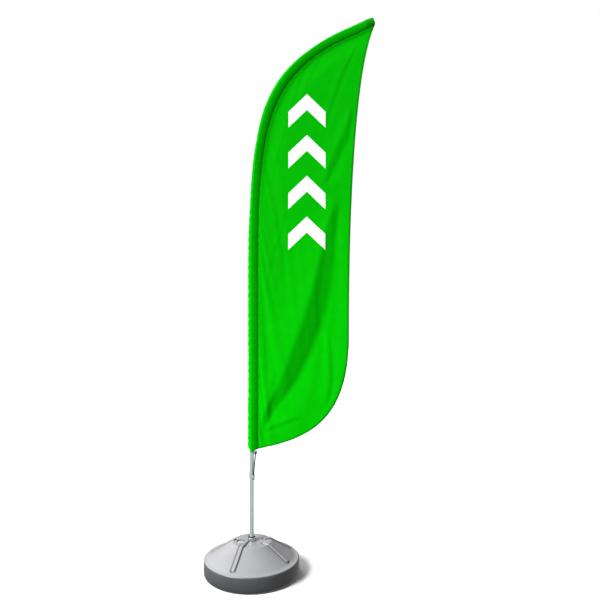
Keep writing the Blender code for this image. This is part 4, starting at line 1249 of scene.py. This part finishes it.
@dataclass
class HoldDown:
    """The elastic cord and the webbing tab that hold the sleeve's lower end down."""

    eyelet: tuple[float, float] = (0.0196, 0.5965)
    hole: float = 0.0049
    tab_size: tuple[float, float, float] = (0.0150, 0.0170, 0.0016)
    tab_top: float = 0.6047
    cord: float = 0.0034
    lug: tuple[float, float] = (0.0099, -0.017147)
    lug_top: float = 0.490
    cord_end: float = 0.4667
    cord_rings: int = 330
    braid_pitch: float = 0.0095
    braid_relief: float = 0.035    # a share of the cord's radius
    sides: int = 32
    tab_sides: int = 64
    squareness: int = 7            # how square the tab's corners are

    def route(self) -> list:
        """The cord's way through the eyelet and down into the clip's lug."""
        x, z = self.eyelet
        face = self.tab_size[2] / 2.0 + 0.0011
        lug_x, lug_y = self.lug
        return [
            (x, face + 0.0073, z),
            (x, 0.0, z),
            (x, -face - 0.0008, z),
            (x - 0.0003, -face - 0.0055, z - 0.0040),
            (x - 0.0012, -face - 0.0078, z - 0.0140),
            (lug_x + 0.0022, lug_y + 0.0020, self.lug_top + 0.024),
            (lug_x, lug_y, self.lug_top + 0.004),
            (lug_x, lug_y, self.lug_top - 0.006),
            (lug_x, lug_y, self.cord_end),
        ]

    def build_cord(self, braid: bpy.types.Material) -> bpy.types.Object:
        """Make the braided cord.

        Args:
            braid: The cord's material.

        Returns:
            The cord's object.
        """
        count = self.cord_rings
        line = smooth_path(self.route(), count)
        tangent = np.gradient(line, axis=0)
        tangent /= np.linalg.norm(tangent, axis=1)[:, None]
        side = np.cross(tangent, [1.0, 0.0, 0.0])
        side /= np.linalg.norm(side, axis=1)[:, None]
        other = np.cross(tangent, side)
        steps = np.append(0.0, np.cumsum(np.linalg.norm(np.diff(line, axis=0), axis=1)))
        turns = np.linspace(0.0, 2.0 * math.pi, self.sides, endpoint=False)
        twist = steps[:, None] / self.braid_pitch * 2.0 * math.pi
        strands = np.sin(4.0 * turns[None, :] + twist) * np.sin(4.0 * turns[None, :] - twist)
        radius = self.cord * (1.0 - self.braid_relief * (1.0 - strands))
        rings = (line[:, None, :] + radius[:, :, None]
                 * (np.cos(turns)[None, :, None] * side[:, None, :]
                    + np.sin(turns)[None, :, None] * other[:, None, :]))
        faces = grid_faces(count, self.sides, True, True)
        faces.append(tuple(range(self.sides)))
        faces.append(tuple(range(count * self.sides - 1, (count - 1) * self.sides - 1, -1)))
        piece = new_piece("elastic_cord", rings.reshape(-1, 3), faces)
        lay_out(piece, UV_FLAT, np.stack([np.tile(turns * self.cord, count),
                                          np.repeat(steps, self.sides)], 1))
        dress(piece, braid)
        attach(piece, "flag_upper")
        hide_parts("tension_cord")
        return piece

    def build_tab(self, webbing: bpy.types.Material) -> bpy.types.Object:
        """Make the webbing tab round the eyelet.

        Args:
            webbing: The tab's material.

        Returns:
            The tab's object.
        """
        width, height, thick = self.tab_size
        x, z = self.eyelet
        middle = self.tab_top - height / 2.0
        count, power = self.tab_sides, self.squareness
        turns = np.linspace(0.0, 2.0 * math.pi, count, endpoint=False)
        cos, sin = np.cos(turns), np.sin(turns)
        size = 1.0 / (np.abs(cos)**power + np.abs(sin)**power)**(1.0 / power)
        outer = np.stack([x + cos * size * width / 2.0, middle + sin * size * height / 2.0], 1)
        inner = np.stack([x + cos * self.hole, z + sin * self.hole], 1)
        rings = []
        for share, depth in ((0.0, 0.0), (0.0, -0.5), (0.5, -0.5), (0.9, -0.48), (1.0, -0.28),
                             (1.0, 0.28), (0.9, 0.48), (0.5, 0.5), (0.0, 0.5)):
            flat = inner + (outer - inner) * share
            rings.append(np.stack([flat[:, 0], np.full(count, depth * thick), flat[:, 1]], 1))
        points = np.concatenate(rings)
        piece = new_piece("sleeve_tab", points, tyre_faces(len(rings), count))
        lay_out(piece, UV_FLAT, points[:, [0, 2]])
        dress(piece, webbing)
        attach(piece, "flag_upper")
        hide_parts("corner_tab")
        return piece


@dataclass
class Hardware:
    """The frame's own turned and moulded pieces, with their real finishes."""

    sharp: float = 34.0        # degrees above which an edge stays crisp

    def dress_all(self, finishes: dict[str, bpy.types.Material]) -> None:
        """Give each piece of the frame that still shows its finish.

        Args:
            finishes: The material for each of the record's slots.
        """
        slots = {row["node"]: row["material_slot"] for row in frame["record"]["subparts"]}
        for name, node in frame["nodes"].items():
            if node.hide_render:
                continue
            node.data.shade_smooth()
            node.data.set_sharp_from_angle(angle=math.radians(self.sharp))
            dress(node, finishes[slots[name]])
            LOG.info("%s: kept from the frame as %s", name, slots[name])


@dataclass
class Studio:
    """A plain pale floor, two soft suns, an even glow and the camera."""

    eye: tuple[float, float, float] = (0.239, -3.012, 1.3515)
    lens: float = 36.5
    key_way: tuple[float, float] = (-50.0, 38.0)
    key: float = 2.10
    back_way: tuple[float, float] = (-150.0, 38.0)
    back: float = 0.34
    spread: float = 30.0       # both suns' width in degrees
    glow: float = 0.24
    shine: float = 0.62        # the studio's walls as polished surfaces mirror them
    floor_rings: tuple = (0.4, 1.0, 2.5, 6.0, 14.0)
    floor_sides: int = 96
    floor_drop: float = 0.0004     # just under the tank, so that the two don't flicker

    def sun(self, name: str, way: tuple[float, float], strength: float) -> None:
        """Add a soft sun.

        Args:
            name: The light's name.
            way: Degrees round from the front, and above the horizon.
            strength: How bright it lights a surface that faces it.
        """
        light = bpy.data.lights.new(name, "SUN")
        light.energy = strength * math.pi
        light.angle = math.radians(self.spread)
        item = bpy.data.objects.new(name, light)
        bpy.context.scene.collection.objects.link(item)
        item.rotation_euler = (math.radians(90.0 - way[1]), 0.0, math.radians(way[0]))

    def build(self) -> None:
        """Make the floor, the lights, the world and the camera."""
        self.sun("key_light", self.key_way, self.key)
        self.sun("back_light", self.back_way, self.back)
        world = bpy.data.worlds.new("studio")
        world.use_nodes = True
        tree = world.node_tree
        tree.nodes.clear()
        path = add(tree, "LightPath")
        glow = add(tree, "Background", {0: linear("FFFFFF"), 1: self.glow})
        shine = add(tree, "Background", {0: linear("FFFFFF"), 1: self.shine})
        white = add(tree, "Background", {0: linear("FFFFFF"), 1: 1.0})
        lit = add(tree, "MixShader", {}, {0: path.outputs["Is Glossy Ray"], 1: glow, 2: shine})
        seen = add(tree, "MixShader", {}, {0: path.outputs["Is Camera Ray"], 1: lit, 2: white})
        add(tree, "OutputWorld", {}, {0: seen})
        bpy.context.scene.world = world
        self.build_floor()
        camera = bpy.data.cameras.new("camera")
        camera.lens = self.lens
        camera.sensor_width = 36.0
        camera.dof.use_dof = False
        item = bpy.data.objects.new("camera", camera)
        item.location = self.eye
        item.rotation_euler = (math.radians(90.0), 0.0, 0.0)
        bpy.context.scene.collection.objects.link(item)
        bpy.context.scene.camera = item
        bpy.context.scene.view_settings.view_transform = "Standard"

    def build_floor(self) -> None:
        """Make the round pale floor, which lies just under the tank."""
        rings, sides = self.floor_rings, self.floor_sides
        turns = np.linspace(0.0, 2.0 * math.pi, sides, endpoint=False)
        points = np.array([[(r * math.cos(t), r * math.sin(t), -self.floor_drop) for t in turns]
                           for r in rings]).reshape(-1, 3)
        faces = grid_faces(len(rings), sides, True, True)
        faces.append(tuple(range(sides)))
        floor = new_piece("studio_floor", points, faces)
        material, tree, shader = new_material("painted_floor")
        place = add(tree, "TexCoord").outputs["Object"]
        cloud = add(tree, "TexNoise", {"Scale": 1.6, "Detail": 3.0}, {"Vector": place})
        tint = add(tree, "MapRange", {1: 0.3, 2: 0.7, 3: 0.0, 4: 1.0}, {0: cloud})
        colour = mixed(tree, tint, linear("F2F2F2"), linear("F6F6F6"))
        tree.links.new(colour, shader.inputs["Base Color"])
        shader.inputs["Roughness"].default_value = 0.9
        floor.data.materials.append(material)
        floor.visible_diffuse = False
        floor.visible_glossy = False


def make_finishes() -> dict[str, bpy.types.Material]:
    """Make every finish.

    Returns:
        The material for each of the record's slots.
    """
    # Zinc-plated steel: a pale blue-grey skin that shines softly round its turning lines.
    zinc = Metal("zinc_plated_steel", "C9CDCE", "A9AEB0", 0.34)
    # Drawn aluminium, clear anodised: a pale satin tube with a faint cool green cast.
    tube = Metal("anodised_aluminium", "D2E8DE", "BEDACE", 0.33, Lay.LENGTHWISE)
    # Ground bearing steel: bright and nearly even.
    bearing = Metal("ground_bearing_steel", "D2D2D4", "B8B8BC", 0.18, depth=0.04)
    # Pressed brass: warm yellow, dulled where it was handled.
    brass = Metal("pressed_brass", "D9B866", "B8964A", 0.30, depth=0.06)
    # Oil-blackened spring steel: dark, with a thin shine.
    spring = Metal("blackened_spring_steel", "4A4B4E", "38393C", 0.40)
    # Nickel-plated brass: bright, faintly warm.
    nickel = Metal("nickel_plated_brass", "D6D2C8", "BDB8AC", 0.24, depth=0.05)
    # Pultruded glass fibre: off-white resin with a satin skin.
    rod = MouldedPlastic("pultruded_glass_fibre", "E6E3D6", "D6D2C2", 0.38, 1.52)
    # Injection-moulded polypropylene: pale grey and slightly waxy.
    cap = MouldedPlastic("moulded_polypropylene", "C9C9CC", "B4B4B8", 0.36)
    # Acetal: dense, smooth, off-white.
    bush = MouldedPlastic("machined_acetal", "DCDCD6", "CECEC8", 0.30, 1.48)
    # Moulded nylon: pale grey-green, with a light sheen.
    clip = MouldedPlastic("moulded_nylon", "8CA49A", "7A9288", 0.34, 1.53)
    bead = MouldedPlastic("moulded_nylon_bead", "4C5E58", "3E4E48", 0.38, 1.53)
    sleeve = FlagKnit("knitted_polyester_sleeve", "00B200", "009C00", "008800",
                      hem=0.0012, stitch_line=0.0040)
    panel = FlagKnit("knitted_polyester_flag", "00B000", "009A00", "008A00", printed=True)
    pocket = Webbing("woven_webbing_dark", "00A400", "008A00")
    tab = Webbing("woven_webbing_green", "048A08", "036A06")
    braid = Webbing("braided_elastic", "3C4C48", "1C2422", 0.0022)
    rubber = Rubber()
    tank = TankPlastic()
    by_slot = {
        "tank_plastic": tank, "cap_plastic": cap, "rubber": rubber, "zinc_steel": zinc,
        "bearing_steel": bearing, "brass": brass, "spring_steel": spring,
        "bush_plastic": bush, "aluminium_tube": tube, "fibreglass": rod,
        "sleeve_fabric": sleeve, "flag_fabric": panel, "pocket_webbing": pocket,
        "tab_webbing": tab, "eyelet_nickel": nickel, "elastic_cord": braid,
        "bead_plastic": bead, "clip_plastic": clip,
    }
    return {slot: finish.make() for slot, finish in by_slot.items()}


def report(piece: bpy.types.Object) -> None:
    """Say what a new piece is made of."""
    LOG.info("%s: %d faces, %s", piece.name, len(piece.data.polygons),
             piece.data.materials[0].name)


def main() -> None:
    """Build the whole flag in its studio."""
    logging.basicConfig(level=logging.INFO, format="%(message)s")
    Studio().build()
    finishes = make_finishes()
    line = PoleLine()
    report(WaterTank().build(finishes["tank_plastic"]))
    report(PoleTube().build(finishes["aluminium_tube"]))
    sleeve = Sleeve(line)
    tube = sleeve.build(finishes["sleeve_fabric"])
    pocket = sleeve.build_pocket(finishes["pocket_webbing"])
    panel = FlagPanel(line, sleeve)
    cloth = panel.build(finishes["flag_fabric"])
    hold = HoldDown()
    cord = hold.build_cord(finishes["elastic_cord"])
    tab = hold.build_tab(finishes["tab_webbing"])
    for piece in (tube, pocket, cloth, cord, tab):
        report(piece)
    panel.area()
    round(sleeve.end - sleeve.bottom, 3)
    Hardware().dress_all(finishes)


if __name__ == "__main__":
    main()
